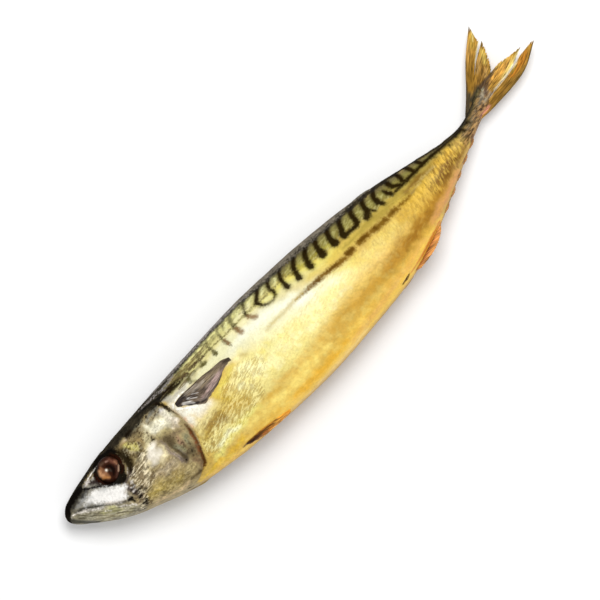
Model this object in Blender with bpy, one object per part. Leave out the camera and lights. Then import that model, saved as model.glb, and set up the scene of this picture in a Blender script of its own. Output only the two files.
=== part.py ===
"""A whole smoked mackerel that lies on its right side: one solid fish, with an eye set in each side of its head.

Metres, +Z up. The snout points to -X, the tail to +X, the back to +Y, and the left flank faces up.
"Height" is measured across the fish, from its long axis towards the back, as seen from above its left flank.
"Girth" is the angle round a cross-section: 0 at the middle of the back, 90 degrees on the flank, 180 at the belly.
"""

import math

import bmesh
import bpy
import numpy as np
from mathutils import Vector

# The outline: distance from the snout, height of the back, height of the belly, half thickness
OUTLINE = (
    (0.000, 0.0196, 0.0098, 0.0038),
    (0.005, 0.0209, 0.0071, 0.0052),
    (0.010, 0.0223, 0.0028, 0.0067),
    (0.020, 0.0243, -0.0048, 0.0095),
    (0.040, 0.0267, -0.0146, 0.0138),
    (0.060, 0.0277, -0.0219, 0.0171),
    (0.080, 0.0283, -0.0261, 0.0195),
    (0.120, 0.0291, -0.0306, 0.0214),
    (0.145, 0.0287, -0.0320, 0.0216),
    (0.172, 0.0270, -0.0314, 0.0209),
    (0.192, 0.0248, -0.0299, 0.0196),
    (0.213, 0.0217, -0.0276, 0.0173),
    (0.233, 0.0177, -0.0221, 0.0140),
    (0.253, 0.0126, -0.0142, 0.0100),
    (0.273, 0.0080, -0.0054, 0.0061),
    (0.281, 0.0076, -0.0022, 0.0048),
    (0.291, 0.0098, 0.0016, 0.0036),
    (0.303, 0.0158, 0.0052, 0.0010),
)
SNOUT_ROUNDING = 0.006
SECTION_FULLNESS = 2.2
GIRTH_POINTS = 40
HEAD_RINGS, TRUNK_RINGS, TAIL_RINGS = 34, 25, 17
HEAD_END, TRUNK_END = 0.086, 0.250

# The gill cover: its rear edge, seen from the side, is an arc that stands furthest back a little above the flank
GILL_EDGE = 0.0790
GILL_SWEEP = 0.025
GILL_APEX = math.radians(90)
GILL_REACH = 0.050
GILL_LIP = 0.0009
GILL_SLIT = 0.0006
GILL_TAPER = 0.018
GILL_TOP, GILL_BOTTOM = math.radians(40), math.radians(176)

# The mouth: a groove that runs from one corner round the snout to the other
MOUTH_CORNER = 0.0290
MOUTH_HEIGHT = 0.0152
MOUTH_SLOPE = -0.55
MOUTH_GROOVE = 0.0006

# The upper jaw plate above the mouth, as (distance, height) along each edge
JAW_UPPER = ((0.0080, 0.0150), (0.0180, 0.0168), (0.0270, 0.0118), (0.0365, 0.0066))
JAW_LOWER = ((0.0080, 0.0122), (0.0160, 0.0085), (0.0240, 0.0040), (0.0330, 0.0012))
JAW_STANDS_OUT = 0.0005

# The eyes, whose faces are turned part of the way from the skin's own slope to the side
EYE_PLACE = (0.0340, 0.0172)
EYE_RADIUS = 0.0070
EYE_THICKNESS = 0.0066
EYE_STANDS_OUT = 0.0011
EYE_TURN = 0.7
EYE_GAP = 0.0003

# How the fish lies: the belly is turned up, less so towards the tail, and head and tail sag towards the table
ROLL, TAIL_ROLL = math.radians(16), math.radians(5)
ROLL_FADES_FROM = 0.225
PRESSED_FLAT = 0.0016
HEAD_SAG, HEAD_SAG_FROM = 0.004, 0.070
TAIL_SAG, TAIL_SAG_FROM = 0.009, 0.185
TAIL_END = 0.340

# The fins that lie along the skin, as (distance, height) from root to tip along each edge
PECTORAL_UPPER = ((0.0805, 0.0150), (0.0920, 0.0156), (0.1040, 0.0148), (0.1145, 0.0122))
PECTORAL_LOWER = ((0.0805, 0.0136), (0.0870, 0.0076), (0.0935, 0.0045), (0.1145, 0.0116))
PELVIC_UPPER = ((0.0900, -0.0236), (0.0980, -0.0243), (0.1080, -0.0262), (0.1185, -0.0287))
PELVIC_LOWER = ((0.0900, -0.0248), (0.0980, -0.0268), (0.1080, -0.0288), (0.1185, -0.0292))
FIN_ROOT_IN_SKIN = 0.0008

# The fins along the middle of the back and belly: start and end of the root, height, sweep back of the tip
FIRST_DORSAL = (0.0980, 0.1330, 0.0007, 0.006)
SECOND_DORSAL = (0.2120, 0.2290, 0.0022, 0.006)
ANAL_FIN = (0.2120, 0.2390, 0.0040, 0.008)

# The rows of finlets behind them: the first one's start, the step to the next, length, height
FINLETS = 5
DORSAL_FINLETS = (0.2360, 0.0083, 0.0060, 0.0014)
ANAL_FINLETS = (0.2440, 0.0081, 0.0066, 0.0028)
MEDIAN_FIN_THICKNESS = 0.0012

# The tail fin: four bundles of rays, each between two edges given as (distance, height) from root to tip
TAIL_BLADES = {
    "upper_outer": (
        ((0.2860, 0.0080), (0.2965, 0.0168), (0.3090, 0.0290), (0.3225, 0.0395)),
        ((0.2900, 0.0060), (0.3050, 0.0182), (0.3193, 0.0305), (0.3225, 0.0393)),
    ),
    "upper_inner": (
        ((0.2880, 0.0062), (0.3030, 0.0180), (0.3130, 0.0243), (0.3215, 0.0295)),
        ((0.2940, 0.0056), (0.3105, 0.0125), (0.3175, 0.0203), (0.3215, 0.0293)),
    ),
    "lower_inner": (
        ((0.2920, 0.0075), (0.3120, 0.0152), (0.3230, 0.0142), (0.3330, 0.0132)),
        ((0.2920, 0.0045), (0.3070, 0.0071), (0.3210, 0.0087), (0.3330, 0.0130)),
    ),
    "lower_outer": (
        ((0.2920, 0.0055), (0.3070, 0.0067), (0.3260, 0.0092), (0.3403, 0.0104)),
        ((0.2890, 0.0026), (0.3030, 0.0016), (0.3245, 0.0030), (0.3403, 0.0102)),
    ),
}
TAIL_ROOT_THICKNESS, TAIL_TIP_THICKNESS = 0.0024, 0.0008
KEEL_LENGTH, KEEL_RADIUS = 0.0100, 0.0010
KEELS = ((0.2990, 0.0110, 33), (0.2965, 0.0052, 6))


def through(rows, x, column=1):
    """A smooth curve through the given column of rows, whose first column is x."""
    table = np.array(rows)
    at, values = table[:, 0], table[:, column]
    slopes = np.gradient(values, at)
    i = np.clip(np.searchsorted(at, x) - 1, 0, len(at) - 2)
    step = at[i + 1] - at[i]
    t = (x - at[i]) / step
    rise = 3 * t**2 - 2 * t**3
    return (
        values[i] * (1 - rise)
        + values[i + 1] * rise
        + step * (slopes[i] * (t**3 - 2 * t**2 + t) + slopes[i + 1] * (t**3 - t**2))
    )


def section(x):
    """Height of the middle, half depth and half thickness of the cross-section at x."""
    back, belly, half = (through(OUTLINE, x, column) for column in (1, 2, 3))
    nose = np.sqrt(1 - (1 - np.clip(x / SNOUT_ROUNDING, 0.02, 1)) ** 2)
    return (back + belly) / 2, nose * (back - belly) / 2, nose * half


def gill_edge(girth):
    return GILL_EDGE - GILL_SWEEP * (1 - np.cos(girth - GILL_APEX))


def gill_lip(x, girth):
    """How far the gill cover stands out ahead of its rear edge, and the slit is sunk behind it."""
    behind = x - gill_edge(girth)
    cover = np.where(behind <= 0, GILL_LIP * np.exp(behind / GILL_TAPER), 0)
    slit = np.where(behind > 0, -GILL_SLIT * np.exp(-behind / 0.0015), 0)
    top = np.clip((girth - GILL_TOP) / 0.35, 0, 1)
    bottom = np.clip((GILL_BOTTOM - girth) / 0.30, 0, 1)
    return (cover + slit) * top * bottom


def on_skin(x, girth, lift=0.0):
    """The point of the skin at distance x and a girth from -pi to pi, before the fish is laid down."""
    x, girth = np.broadcast_arrays(np.asarray(x, float), np.asarray(girth, float))
    middle, depth, half = section(x)
    out = gill_lip(x, np.abs(girth)) + lift
    power = 2 / SECTION_FULLNESS
    up, side = np.cos(girth), np.sin(girth)
    y = middle + (depth + out) * np.sign(up) * np.abs(up) ** power
    z = (half + out) * np.sign(side) * np.abs(side) ** power
    return np.stack([x, y, z], axis=-1)


def roll_at(x):
    """How far the belly is turned up at distance x."""
    fade = np.clip((x - ROLL_FADES_FROM) / (TAIL_END - ROLL_FADES_FROM), 0, 1)
    return ROLL + (TAIL_ROLL - ROLL) * fade**2 * (3 - 2 * fade)


def lay_down(points):
    """Turns the fish's belly up a little, lifts it onto its side and lets head and tail sag."""
    x, y, z = np.moveaxis(np.asarray(points, float), -1, 0)
    thickest = np.array(OUTLINE)[:, 3].max()
    deepest = max(back - belly for _, back, belly, _ in OUTLINE) / 2
    reach = math.hypot(thickest * math.cos(ROLL), deepest * math.sin(ROLL))
    head = np.clip((HEAD_SAG_FROM - x) / HEAD_SAG_FROM, 0, 1)
    tail = np.clip((x - TAIL_SAG_FROM) / (TAIL_END - TAIL_SAG_FROM), 0, 1)
    sag = HEAD_SAG * head**2 + TAIL_SAG * tail**2 * (3 - 2 * tail)
    roll = roll_at(x)
    rolled_y = y * np.cos(roll) + z * np.sin(roll)
    rolled_z = z * np.cos(roll) - y * np.sin(roll)
    return np.stack([x, rolled_y, rolled_z + reach - PRESSED_FLAT - sag], axis=-1)


def girth_seen_at(x, height):
    """The girth of the left flank's point that is seen from above at this distance and height."""
    girths = np.linspace(math.pi, 0.25, 120)
    heights = lay_down(on_skin(x, girths))[:, 1]
    top = int(np.argmax(heights))
    return float(np.interp(height, heights[: top + 1], girths[: top + 1]))


def skin_normal(x, girth):
    step = 1e-4
    along = lay_down(on_skin(x + step, girth)) - lay_down(on_skin(x - step, girth))
    around = lay_down(on_skin(x, girth + step)) - lay_down(on_skin(x, girth - step))
    normal = Vector(np.cross(around, along)).normalized()
    outward = Vector(lay_down(on_skin(x, girth, 0.01)) - lay_down(on_skin(x, girth)))
    return normal if normal.dot(outward) > 0 else -normal


def ring_stations():
    """Distances of the loft's rings along the flank: close on the head, wide on the trunk, close at the tail."""
    head = np.linspace(0.0002, HEAD_END, HEAD_RINGS, endpoint=False)
    head = head[np.abs(head - GILL_EDGE) > 0.0015]
    trunk = np.linspace(HEAD_END, TRUNK_END, TRUNK_RINGS, endpoint=False)
    tail = np.linspace(TRUNK_END, OUTLINE[-1][0], TAIL_RINGS)
    edge = GILL_EDGE + np.array([-0.0015, 0.0, 0.0004, 0.0018])
    return np.sort(np.concatenate([head, trunk, tail, edge]))


def bowed(station, girth):
    """Bends a ring so that the rings near the gill cover run along its rear edge."""
    away = np.clip(np.abs(station - GILL_EDGE) / GILL_REACH, 0, 1)
    return station + (gill_edge(girth) - GILL_EDGE) * (1 + np.cos(math.pi * away)) / 2


def new_object(name, mesh, collection, material=None, parent=None):
    obj = bpy.data.objects.new(name, mesh)
    collection.objects.link(obj)
    if material:
        mesh.materials.append(material)
    obj.parent = parent
    return obj


def loft(name, rings):
    """A closed mesh over rings of points, with a flat cap at each end."""
    bm = bmesh.new()
    verts = [[bm.verts.new(point) for point in ring] for ring in rings]
    count = len(verts[0])
    for low, high in zip(verts, verts[1:]):
        for j in range(count):
            k = (j + 1) % count
            bm.faces.new((low[j], low[k], high[k], high[j]))
    bm.faces.new(verts[0])
    bm.faces.new(verts[-1])
    bmesh.ops.recalc_face_normals(bm, faces=bm.faces)
    mesh = bpy.data.meshes.new(name)
    bm.to_mesh(mesh)
    bm.free()
    mesh.shade_smooth()
    return mesh


def body_mesh():
    girths = np.linspace(-math.pi, math.pi, GIRTH_POINTS, endpoint=False)
    rings = []
    for station in ring_stations():
        rings.append(lay_down(on_skin(bowed(station, np.abs(girths)), girths)))
    return loft("fish", rings)


def plate(name, sheet, normals, above, below):
    """A thin solid over a grid of points: each point is moved out along its normal for one face, and in for the other."""
    outer = sheet + normals * above[..., None]
    inner = sheet - normals * below[..., None]
    rings = [np.concatenate([top, bottom[::-1]]) for top, bottom in zip(outer, inner)]
    return loft(name, rings)


def edge_curve(points, count):
    """A smooth curve through an edge's points, evenly parted from root to tip."""
    points = np.array(points)
    share = np.linspace(0, 1, len(points))
    at = np.linspace(0, 1, count)
    return np.stack([through(np.stack([share, points[:, k]], 1), at) for k in (0, 1)], 1)


def skin_plate(name, upper, lower, side, thickness, collection, steps=9, across=4):
    """A fin folded back against the flank, or another flat piece of skin, on one side of the fish (+1 left, -1 right)."""
    first, last = edge_curve(upper, steps), edge_curve(lower, steps)
    sheet, normals, lift = [], [], []
    for i in range(steps):
        for w in np.linspace(0, 1, across):
            x, height = first[i] * (1 - w) + last[i] * w
            girth = girth_seen_at(x, height) * side
            sheet.append(lay_down(on_skin(x, girth)))
            normals.append(skin_normal(x, girth))
            crown = 0.45 + 0.55 * math.sin(math.pi * min(max(w, 0.08), 0.92))
            lift.append(thickness * crown * (1 - 0.45 * i / (steps - 1)))
    shape = (steps, across, 3)
    below = np.full(shape[:2], FIN_ROOT_IN_SKIN)
    mesh = plate(name, np.reshape(sheet, shape), np.reshape(normals, shape), np.reshape(lift, shape[:2]), below)
    return new_object(name, mesh, collection)


def median_fin(name, start, end, height, sweep, girth, collection, steps=9):
    """A fin on the middle of the back (girth 0) or belly (girth pi), lying back towards the tail."""
    root_x = np.linspace(start, end, steps)
    root = lay_down(on_skin(root_x, girth, -FIN_ROOT_IN_SKIN))
    along = (root_x - start) / (end - start)
    rise = height * np.sin(math.pi * np.clip(along, 0.04, 0.97) ** 0.6) ** 0.8
    tip = lay_down(on_skin(root_x + sweep * rise / height, girth, rise))
    roll = roll_at(root_x)
    across = np.stack([0 * roll, np.sin(roll), np.cos(roll)], axis=1)
    sheet = np.stack([root, (root + tip) / 2, tip], axis=1)
    half = MEDIAN_FIN_THICKNESS / 2 * np.array([1.0, 0.8, 0.4])
    half = np.tile(half, (steps, 1))
    mesh = plate(name, sheet, np.repeat(across[:, None], 3, axis=1), half, half)
    return new_object(name, mesh, collection)


def tail_blade(name, upper, lower, collection, steps=12, across=4):
    """One bundle of the tail fin's rays: a leaf between two edges, thick at its root and thin at its tip."""
    first, last = edge_curve(upper, steps), edge_curve(lower, steps)
    share = np.linspace(0, 1, across)[None, :, None]
    flat = first[:, None] * (1 - share) + last[:, None] * share
    sheet = lay_down(np.concatenate([flat, np.zeros((steps, across, 1))], axis=2))
    along = np.linspace(0, 1, steps)[:, None]
    half = (TAIL_ROOT_THICKNESS * (1 - along) + TAIL_TIP_THICKNESS * along) / 2
    half = half * np.array([[0.55] + [1.0] * (across - 2) + [0.55]])
    up = np.tile([0.0, 0.0, 1.0], (steps, across, 1))
    return new_object(name, plate(name, sheet, up, half, half), collection)


def keel(name, x, height, degrees, side, collection):
    """One of the small fleshy ridges beside the root of the tail fin."""
    place = lay_down(on_skin(x, girth_seen_at(x, height) * side))
    bpy.ops.mesh.primitive_uv_sphere_add(segments=10, ring_count=6, radius=1, location=place)
    obj = bpy.context.object
    obj.name = name
    obj.scale = (KEEL_LENGTH / 2, KEEL_RADIUS, KEEL_RADIUS)
    obj.rotation_euler = (0, 0, math.radians(degrees))
    move_to(obj, collection)
    bpy.ops.object.transform_apply(location=True, rotation=True, scale=True)
    return obj


def add_fins(collection):
    for side, word in ((1, "left"), (-1, "right")):
        skin_plate(f"jaw_plate_{word}", JAW_UPPER, JAW_LOWER, side, JAW_STANDS_OUT, collection, steps=7)
        skin_plate(f"pectoral_{word}", PECTORAL_UPPER, PECTORAL_LOWER, side, 0.0010, collection)
        skin_plate(f"pelvic_{word}", PELVIC_UPPER, PELVIC_LOWER, side, 0.0010, collection)
        for n, (x, height, degrees) in enumerate(KEELS):
            keel(f"keel_{word}_{n}", x, height, degrees, side, collection)
    median_fin("first_dorsal", *FIRST_DORSAL, 0.0, collection)
    median_fin("second_dorsal", *SECOND_DORSAL, 0.0, collection)
    median_fin("anal_fin", *ANAL_FIN, math.pi, collection)
    for word, row, girth in (("dorsal", DORSAL_FINLETS, 0.0), ("anal", ANAL_FINLETS, math.pi)):
        first, step, length, height = row
        for n in range(FINLETS):
            start = first + n * step
            median_fin(f"{word}_finlet_{n}", start, start + length, height, height, girth, collection, steps=5)
    for word, (upper, lower) in TAIL_BLADES.items():
        tail_blade(f"tail_{word}", upper, lower, collection)


def set_in_head(obj, side):
    """Sets the eye, or its socket's cutter, into one side of the head."""
    girth = girth_seen_at(*EYE_PLACE) * side
    face = (skin_normal(EYE_PLACE[0], girth) + EYE_TURN * Vector((0, 0, side))).normalized()
    sink = EYE_THICKNESS / 2 - EYE_STANDS_OUT
    obj.location = Vector(lay_down(on_skin(EYE_PLACE[0], girth))) - face * sink
    obj.rotation_euler = face.to_track_quat("Z", "Y").to_euler()


def eyeball(name, side, grown, collection, material=None):
    """A lens-shaped eye, or a slightly larger one for its socket."""
    bpy.ops.mesh.primitive_uv_sphere_add(segments=24, ring_count=12, radius=1)
    obj = bpy.context.object
    obj.name = name
    obj.scale = (EYE_RADIUS + grown, EYE_RADIUS + grown, EYE_THICKNESS / 2 + grown)
    bpy.ops.object.transform_apply(location=False, rotation=False, scale=True)
    obj.data.shade_smooth()
    set_in_head(obj, side)
    move_to(obj, collection)
    if material:
        obj.data.materials.append(material)
    return obj


def mouth_cutter(collection):
    """A thin tube along the line of the closed mouth, from the left corner round the snout to the right one."""
    distances = np.concatenate([np.linspace(MOUTH_CORNER, 0.003, 12), [0.0014, 0.0005]])
    points = []
    for side in (1, -1):
        half = []
        for x in distances:
            girth = girth_seen_at(x, MOUTH_HEIGHT + MOUTH_SLOPE * x)
            half.append(lay_down(on_skin(x, girth * side)))
        points += half if side == 1 else half[::-1]
    curve = bpy.data.curves.new("mouth_line", "CURVE")
    curve.dimensions = "3D"
    curve.bevel_depth = MOUTH_GROOVE
    curve.bevel_resolution = 1
    curve.use_fill_caps = True
    spline = curve.splines.new("POLY")
    spline.points.add(len(points) - 1)
    for control, point in zip(spline.points, points):
        control.co = (*point, 1)
    guide = bpy.data.objects.new("mouth_line", curve)
    collection.objects.link(guide)
    bpy.context.view_layer.update()
    graph = bpy.context.evaluated_depsgraph_get()
    mesh = bpy.data.meshes.new_from_object(guide.evaluated_get(graph))
    bpy.data.objects.remove(guide)
    bm = bmesh.new()
    bm.from_mesh(mesh)
    bmesh.ops.remove_doubles(bm, verts=bm.verts, dist=1e-6)
    bmesh.ops.recalc_face_normals(bm, faces=bm.faces)
    bm.to_mesh(mesh)
    bm.free()
    return new_object("mouth_cutter", mesh, collection)


def table_cutter(collection):
    """A block whose top is the table, which presses the underside of the fish flat."""
    bpy.ops.mesh.primitive_cube_add(size=1, location=(TAIL_END / 2, 0, -0.02))
    obj = bpy.context.object
    obj.name = "table_cutter"
    obj.scale = (TAIL_END * 1.2, 0.12, 0.04)
    bpy.ops.object.transform_apply(location=False, rotation=False, scale=True)
    move_to(obj, collection)
    return obj


def move_to(obj, collection):
    for old in list(obj.users_collection):
        old.objects.unlink(obj)
    collection.objects.link(obj)


def new_collection(name):
    collection = bpy.data.collections.new(name)
    bpy.context.scene.collection.children.link(collection)
    return collection


def new_material(name, colour, roughness, metallic):
    material = bpy.data.materials.new(name)
    material.use_nodes = True
    shader = material.node_tree.nodes["Principled BSDF"]
    shader.inputs["Base Color"].default_value = (*colour, 1)
    shader.inputs["Roughness"].default_value = roughness
    shader.inputs["Metallic"].default_value = metallic
    return material


def add_boolean(obj, name, operation, collection):
    modifier = obj.modifiers.new(name, "BOOLEAN")
    modifier.operation = operation
    modifier.operand_type = "COLLECTION"
    modifier.collection = collection
    modifier.solver = "EXACT"
    return modifier


def fuse(obj, collection):
    """Joins the fins to the fish as one solid, then removes them and their collection."""
    modifier = add_boolean(obj, "grown_fins", "UNION", collection)
    bpy.context.view_layer.objects.active = obj
    bpy.ops.object.modifier_apply(modifier=modifier.name)
    for part in list(collection.objects):
        bpy.data.objects.remove(part)
    bpy.data.collections.remove(collection)


def centre_on_origin(base, parts):
    """Moves everything so that the origin is under the middle of the fish, on the table."""
    bpy.context.view_layer.update()
    graph = bpy.context.evaluated_depsgraph_get()
    corners = []
    for part in parts:
        shown = part.evaluated_get(graph)
        corners += [shown.matrix_world @ Vector(corner) for corner in shown.bound_box]
    low = [min(corner[k] for corner in corners) for k in range(3)]
    high = [max(corner[k] for corner in corners) for k in range(3)]
    base.location = (-(low[0] + high[0]) / 2, -(low[1] + high[1]) / 2, -low[2])


def main():
    for obj in list(bpy.data.objects):
        bpy.data.objects.remove(obj, do_unlink=True)
    parts = new_collection("smoked_mackerel")
    fins = new_collection("fins")
    cutters = new_collection("cutters")
    skin = new_material("smoked_skin", (0.78, 0.56, 0.16), 0.35, 0.3)
    eye = new_material("eye", (0.30, 0.10, 0.04), 0.15, 0.0)

    base = bpy.data.objects.new("lying_place", None)
    parts.objects.link(base)
    fish = new_object("mackerel", body_mesh(), parts, skin)
    add_fins(fins)
    fuse(fish, fins)
    mouth_cutter(cutters)
    table_cutter(cutters)
    for side, word in ((1, "left"), (-1, "right")):
        eyeball(f"socket_cutter_{word}", side, EYE_GAP, cutters)
        eyeball(f"eye_{word}", side, 0.0, parts, eye)
    for cutter in cutters.objects:
        cutter.hide_render = True
        cutter.display_type = "WIRE"
    add_boolean(fish, "cut_away", "DIFFERENCE", cutters)
    solids = [obj for obj in parts.objects if obj.type == "MESH"]
    for obj in solids + list(cutters.objects):
        obj.parent = base
    centre_on_origin(base, solids)


main()
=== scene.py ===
"""The looks of a whole smoked mackerel that lies on its right side with its left flank up.

Sizes are in millimetres until a mesh is made. "Along" is the distance from the snout. "Height" is measured
across the fish from its long axis towards the back, as seen from above its left flank. "Girth" is the angle
round a cross-section: 0 at the middle of the back, 90 degrees on the flank, 180 at the belly, and negative on
the right side.
"""

import math

import bmesh
import bpy
import numpy as np
from mathutils import Matrix, Vector, noise


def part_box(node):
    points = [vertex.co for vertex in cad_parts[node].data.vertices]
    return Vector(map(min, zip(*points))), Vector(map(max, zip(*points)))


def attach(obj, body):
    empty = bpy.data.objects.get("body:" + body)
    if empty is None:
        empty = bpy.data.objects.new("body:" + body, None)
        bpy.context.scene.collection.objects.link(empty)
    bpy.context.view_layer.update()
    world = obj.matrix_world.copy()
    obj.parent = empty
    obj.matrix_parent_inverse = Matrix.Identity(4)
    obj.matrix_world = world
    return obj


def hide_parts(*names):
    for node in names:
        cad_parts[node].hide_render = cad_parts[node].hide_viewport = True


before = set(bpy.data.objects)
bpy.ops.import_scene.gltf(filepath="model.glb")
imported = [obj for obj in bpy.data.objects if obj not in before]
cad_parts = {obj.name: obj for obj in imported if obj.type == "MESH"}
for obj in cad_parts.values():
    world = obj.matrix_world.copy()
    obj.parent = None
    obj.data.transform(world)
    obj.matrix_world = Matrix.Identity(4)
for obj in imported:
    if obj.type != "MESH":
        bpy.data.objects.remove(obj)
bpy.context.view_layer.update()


# The skin. One thin scaleless hide covers head, trunk and tail stem. Salt and smoke have turned its silver to
# gold, dried it to the bones of the head, and left the wavy black bars of the back. It is lofted from rings
# along the outline, its folds and plates raised in the mesh, its markings painted in strokes and washes.

MM = 0.001

# The outline: along, height of the back, height of the belly, half thickness
OUTLINE = np.array((
    (0.0, 19.6, 9.8, 3.8),
    (5.0, 20.9, 7.1, 5.2),
    (10.0, 22.3, 2.8, 6.7),
    (20.0, 24.3, -4.8, 9.5),
    (40.0, 26.7, -14.6, 13.8),
    (60.0, 27.7, -21.9, 17.1),
    (80.0, 28.3, -26.1, 19.5),
    (120.0, 29.1, -30.6, 21.4),
    (145.0, 28.7, -32.0, 21.6),
    (172.0, 27.0, -31.4, 20.9),
    (192.0, 24.8, -29.9, 19.6),
    (213.0, 21.7, -27.6, 17.3),
    (233.0, 17.7, -22.1, 14.0),
    (253.0, 12.6, -14.2, 10.0),
    (273.0, 8.0, -5.4, 6.1),
    (281.0, 7.6, -2.2, 4.8),
    (291.0, 9.8, 1.6, 3.6),
    (303.0, 15.8, 5.2, 1.0),
))
SNOUT_ROUNDING = 6.0
SNOUT_START, FRAME_START = 0.01, 0.2
SECTION_FULLNESS = 2.2

# The gill cover: its rear edge, seen from the side, is an arc that stands furthest back on the flank
GILL_EDGE = 79.0
GILL_SWEEP = 25.0
GILL_APEX = math.radians(90)
GILL_REACH = 50.0
GILL_LIP, GILL_SLIT = 0.9, 0.9
GILL_TAPER, SLIT_WIDTH = 18.0, 1.3
GILL_TOP, GILL_BOTTOM = math.radians(40), math.radians(176)
GILL_TOP_FADE, GILL_BOTTOM_FADE = 0.35, 0.30

# How the fish lies: the belly is turned up, less so towards the tail, and head and tail sag towards the table
ROLL, TAIL_ROLL = math.radians(16), math.radians(5)
ROLL_FADES_FROM = 225.0
PRESSED_FLAT = 1.6
HEAD_SAG, HEAD_SAG_FROM = 4.0, 70.0
TAIL_SAG, TAIL_SAG_FROM = 9.0, 185.0
TAIL_END = 340.0
UPPER_TAIL_TIP = (322.5, 39.5)
TABLE_GAP = 0.15


def through(rows, x, column=1):
    """A smooth curve through the given column of rows, whose first column is x."""
    table = np.array(rows)
    at, values = table[:, 0], table[:, column]
    slopes = np.gradient(values, at)
    i = np.clip(np.searchsorted(at, x) - 1, 0, len(at) - 2)
    step = at[i + 1] - at[i]
    t = (x - at[i]) / step
    rise = 3 * t**2 - 2 * t**3
    return (
        values[i] * (1 - rise)
        + values[i + 1] * rise
        + step * (slopes[i] * (t**3 - 2 * t**2 + t) + slopes[i + 1] * (t**3 - t**2))
    )


def smooth(value):
    """Rises smoothly from 0 to 1 as value does."""
    t = np.clip(value, 0, 1)
    return t * t * (3 - 2 * t)


def section(along):
    """Height of the middle, half depth and half thickness of the cross-section."""
    back, belly, half = (through(OUTLINE, along, column) for column in (1, 2, 3))
    nose = np.sqrt(1 - (1 - np.clip(along / SNOUT_ROUNDING, 0, 1)) ** 2)
    return (back + belly) / 2, nose * (back - belly) / 2, nose * half


def gill_edge(girth):
    return GILL_EDGE - GILL_SWEEP * (1 - np.cos(girth - GILL_APEX))


def gill_lip(along, girth):
    """How far the gill cover stands out ahead of its rear edge, and the slit is sunk behind it."""
    behind = along - gill_edge(girth)
    cover = np.where(behind <= 0, GILL_LIP * np.exp(np.minimum(behind, 0) / GILL_TAPER), 0)
    slit = np.where(behind > 0, -GILL_SLIT * np.exp(-np.maximum(behind, 0) / SLIT_WIDTH), 0)
    top = np.clip((girth - GILL_TOP) / GILL_TOP_FADE, 0, 1)
    bottom = np.clip((GILL_BOTTOM - girth) / GILL_BOTTOM_FADE, 0, 1)
    return (cover + slit) * top * bottom


def on_skin(along, girth, lift=0.0):
    """The point of the skin before the fish is laid down, raised from it by lift."""
    along, girth = np.broadcast_arrays(np.asarray(along, float), np.asarray(girth, float))
    middle, depth, half = section(along)
    out = gill_lip(along, np.abs(girth)) + lift
    power = 2 / SECTION_FULLNESS
    up, side = np.cos(girth), np.sin(girth)
    y = middle + (depth + out) * np.sign(up) * np.abs(up) ** power
    z = (half + out) * np.sign(side) * np.abs(side) ** power
    return np.stack([along, y, z], axis=-1)


def roll_at(along):
    fade = smooth((along - ROLL_FADES_FROM) / (TAIL_END - ROLL_FADES_FROM))
    return ROLL + (TAIL_ROLL - ROLL) * fade


def lay_down(points):
    """Turns the fish's belly up a little, lifts it onto its side and lets head and tail sag."""
    x, y, z = np.moveaxis(np.asarray(points, float), -1, 0)
    deepest = (OUTLINE[:, 1] - OUTLINE[:, 2]).max() / 2
    reach = math.hypot(OUTLINE[:, 3].max() * math.cos(ROLL), deepest * math.sin(ROLL))
    head = np.clip((HEAD_SAG_FROM - x) / HEAD_SAG_FROM, 0, 1)
    sag = HEAD_SAG * head**2 + TAIL_SAG * smooth((x - TAIL_SAG_FROM) / (TAIL_END - TAIL_SAG_FROM))
    roll = roll_at(x)
    rolled_y = y * np.cos(roll) + z * np.sin(roll)
    rolled_z = z * np.cos(roll) - y * np.sin(roll)
    return np.stack([x, rolled_y, rolled_z + reach - PRESSED_FLAT - sag], axis=-1)


fish_low, fish_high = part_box("mackerel")
IN_FRAME = np.array([
    fish_low[0] / MM - FRAME_START,
    fish_high[1] / MM - UPPER_TAIL_TIP[1] * math.cos(roll_at(UPPER_TAIL_TIP[0])),
    0.0,
])

# A point of the left flank is found by the along and height at which it is seen from above
SEEN_GIRTHS = np.linspace(math.pi, 0.05, 160)


def girths_seen_at(alongs, heights):
    """The girths of the left flank's points that are seen from above at these places."""
    found = []
    for x, height in zip(np.ravel(alongs), np.ravel(heights)):
        seen = lay_down(on_skin(x, SEEN_GIRTHS))[:, 1]
        top = int(np.argmax(seen))
        found.append(np.interp(height, seen[: top + 1], SEEN_GIRTHS[: top + 1]))
    return np.reshape(found, np.shape(alongs))


# How far down the skin a girth lies from the middle of the back, in a table that is read between its entries
ARC_ALONG = np.linspace(SNOUT_START, OUTLINE[-1, 0], 200)
ARC_GIRTH = np.linspace(0, math.pi, 181)
steps_round = np.diff(on_skin(ARC_ALONG[:, None], ARC_GIRTH[None, :])[..., 1:], axis=1)
down_skin = np.cumsum(np.linalg.norm(steps_round, axis=-1), axis=1)
ARCS = np.concatenate([0 * down_skin[:, :1], down_skin], axis=1)


def arc_to(along, girth):
    """The length of skin from the middle of the back down to a girth."""
    i = (along - ARC_ALONG[0]) / (ARC_ALONG[1] - ARC_ALONG[0])
    j = np.abs(girth) / (ARC_GIRTH[1] - ARC_GIRTH[0])
    i0 = np.clip(np.floor(i).astype(int), 0, len(ARC_ALONG) - 2)
    j0 = np.clip(np.floor(j).astype(int), 0, len(ARC_GIRTH) - 2)
    i, j = np.clip(i - i0, 0, 1), j - j0
    near = ARCS[i0, j0] * (1 - j) + ARCS[i0, j0 + 1] * j
    far = ARCS[i0 + 1, j0] * (1 - j) + ARCS[i0 + 1, j0 + 1] * j
    return near * (1 - i) + far * i


def flattened(along, height):
    """A seen place on the skin laid out flat. A height above the outline runs on over the back."""
    seen = lay_down(on_skin(along, SEEN_GIRTHS))[:, 1]
    girth = girths_seen_at([along], [height])[0]
    return along, float(arc_to(along, girth)) - max(0.0, height - seen.max())


# Places further than this from a stroke count as far outside it
STROKE_REACH, FAR_OUTSIDE = 12, -99.0


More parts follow.
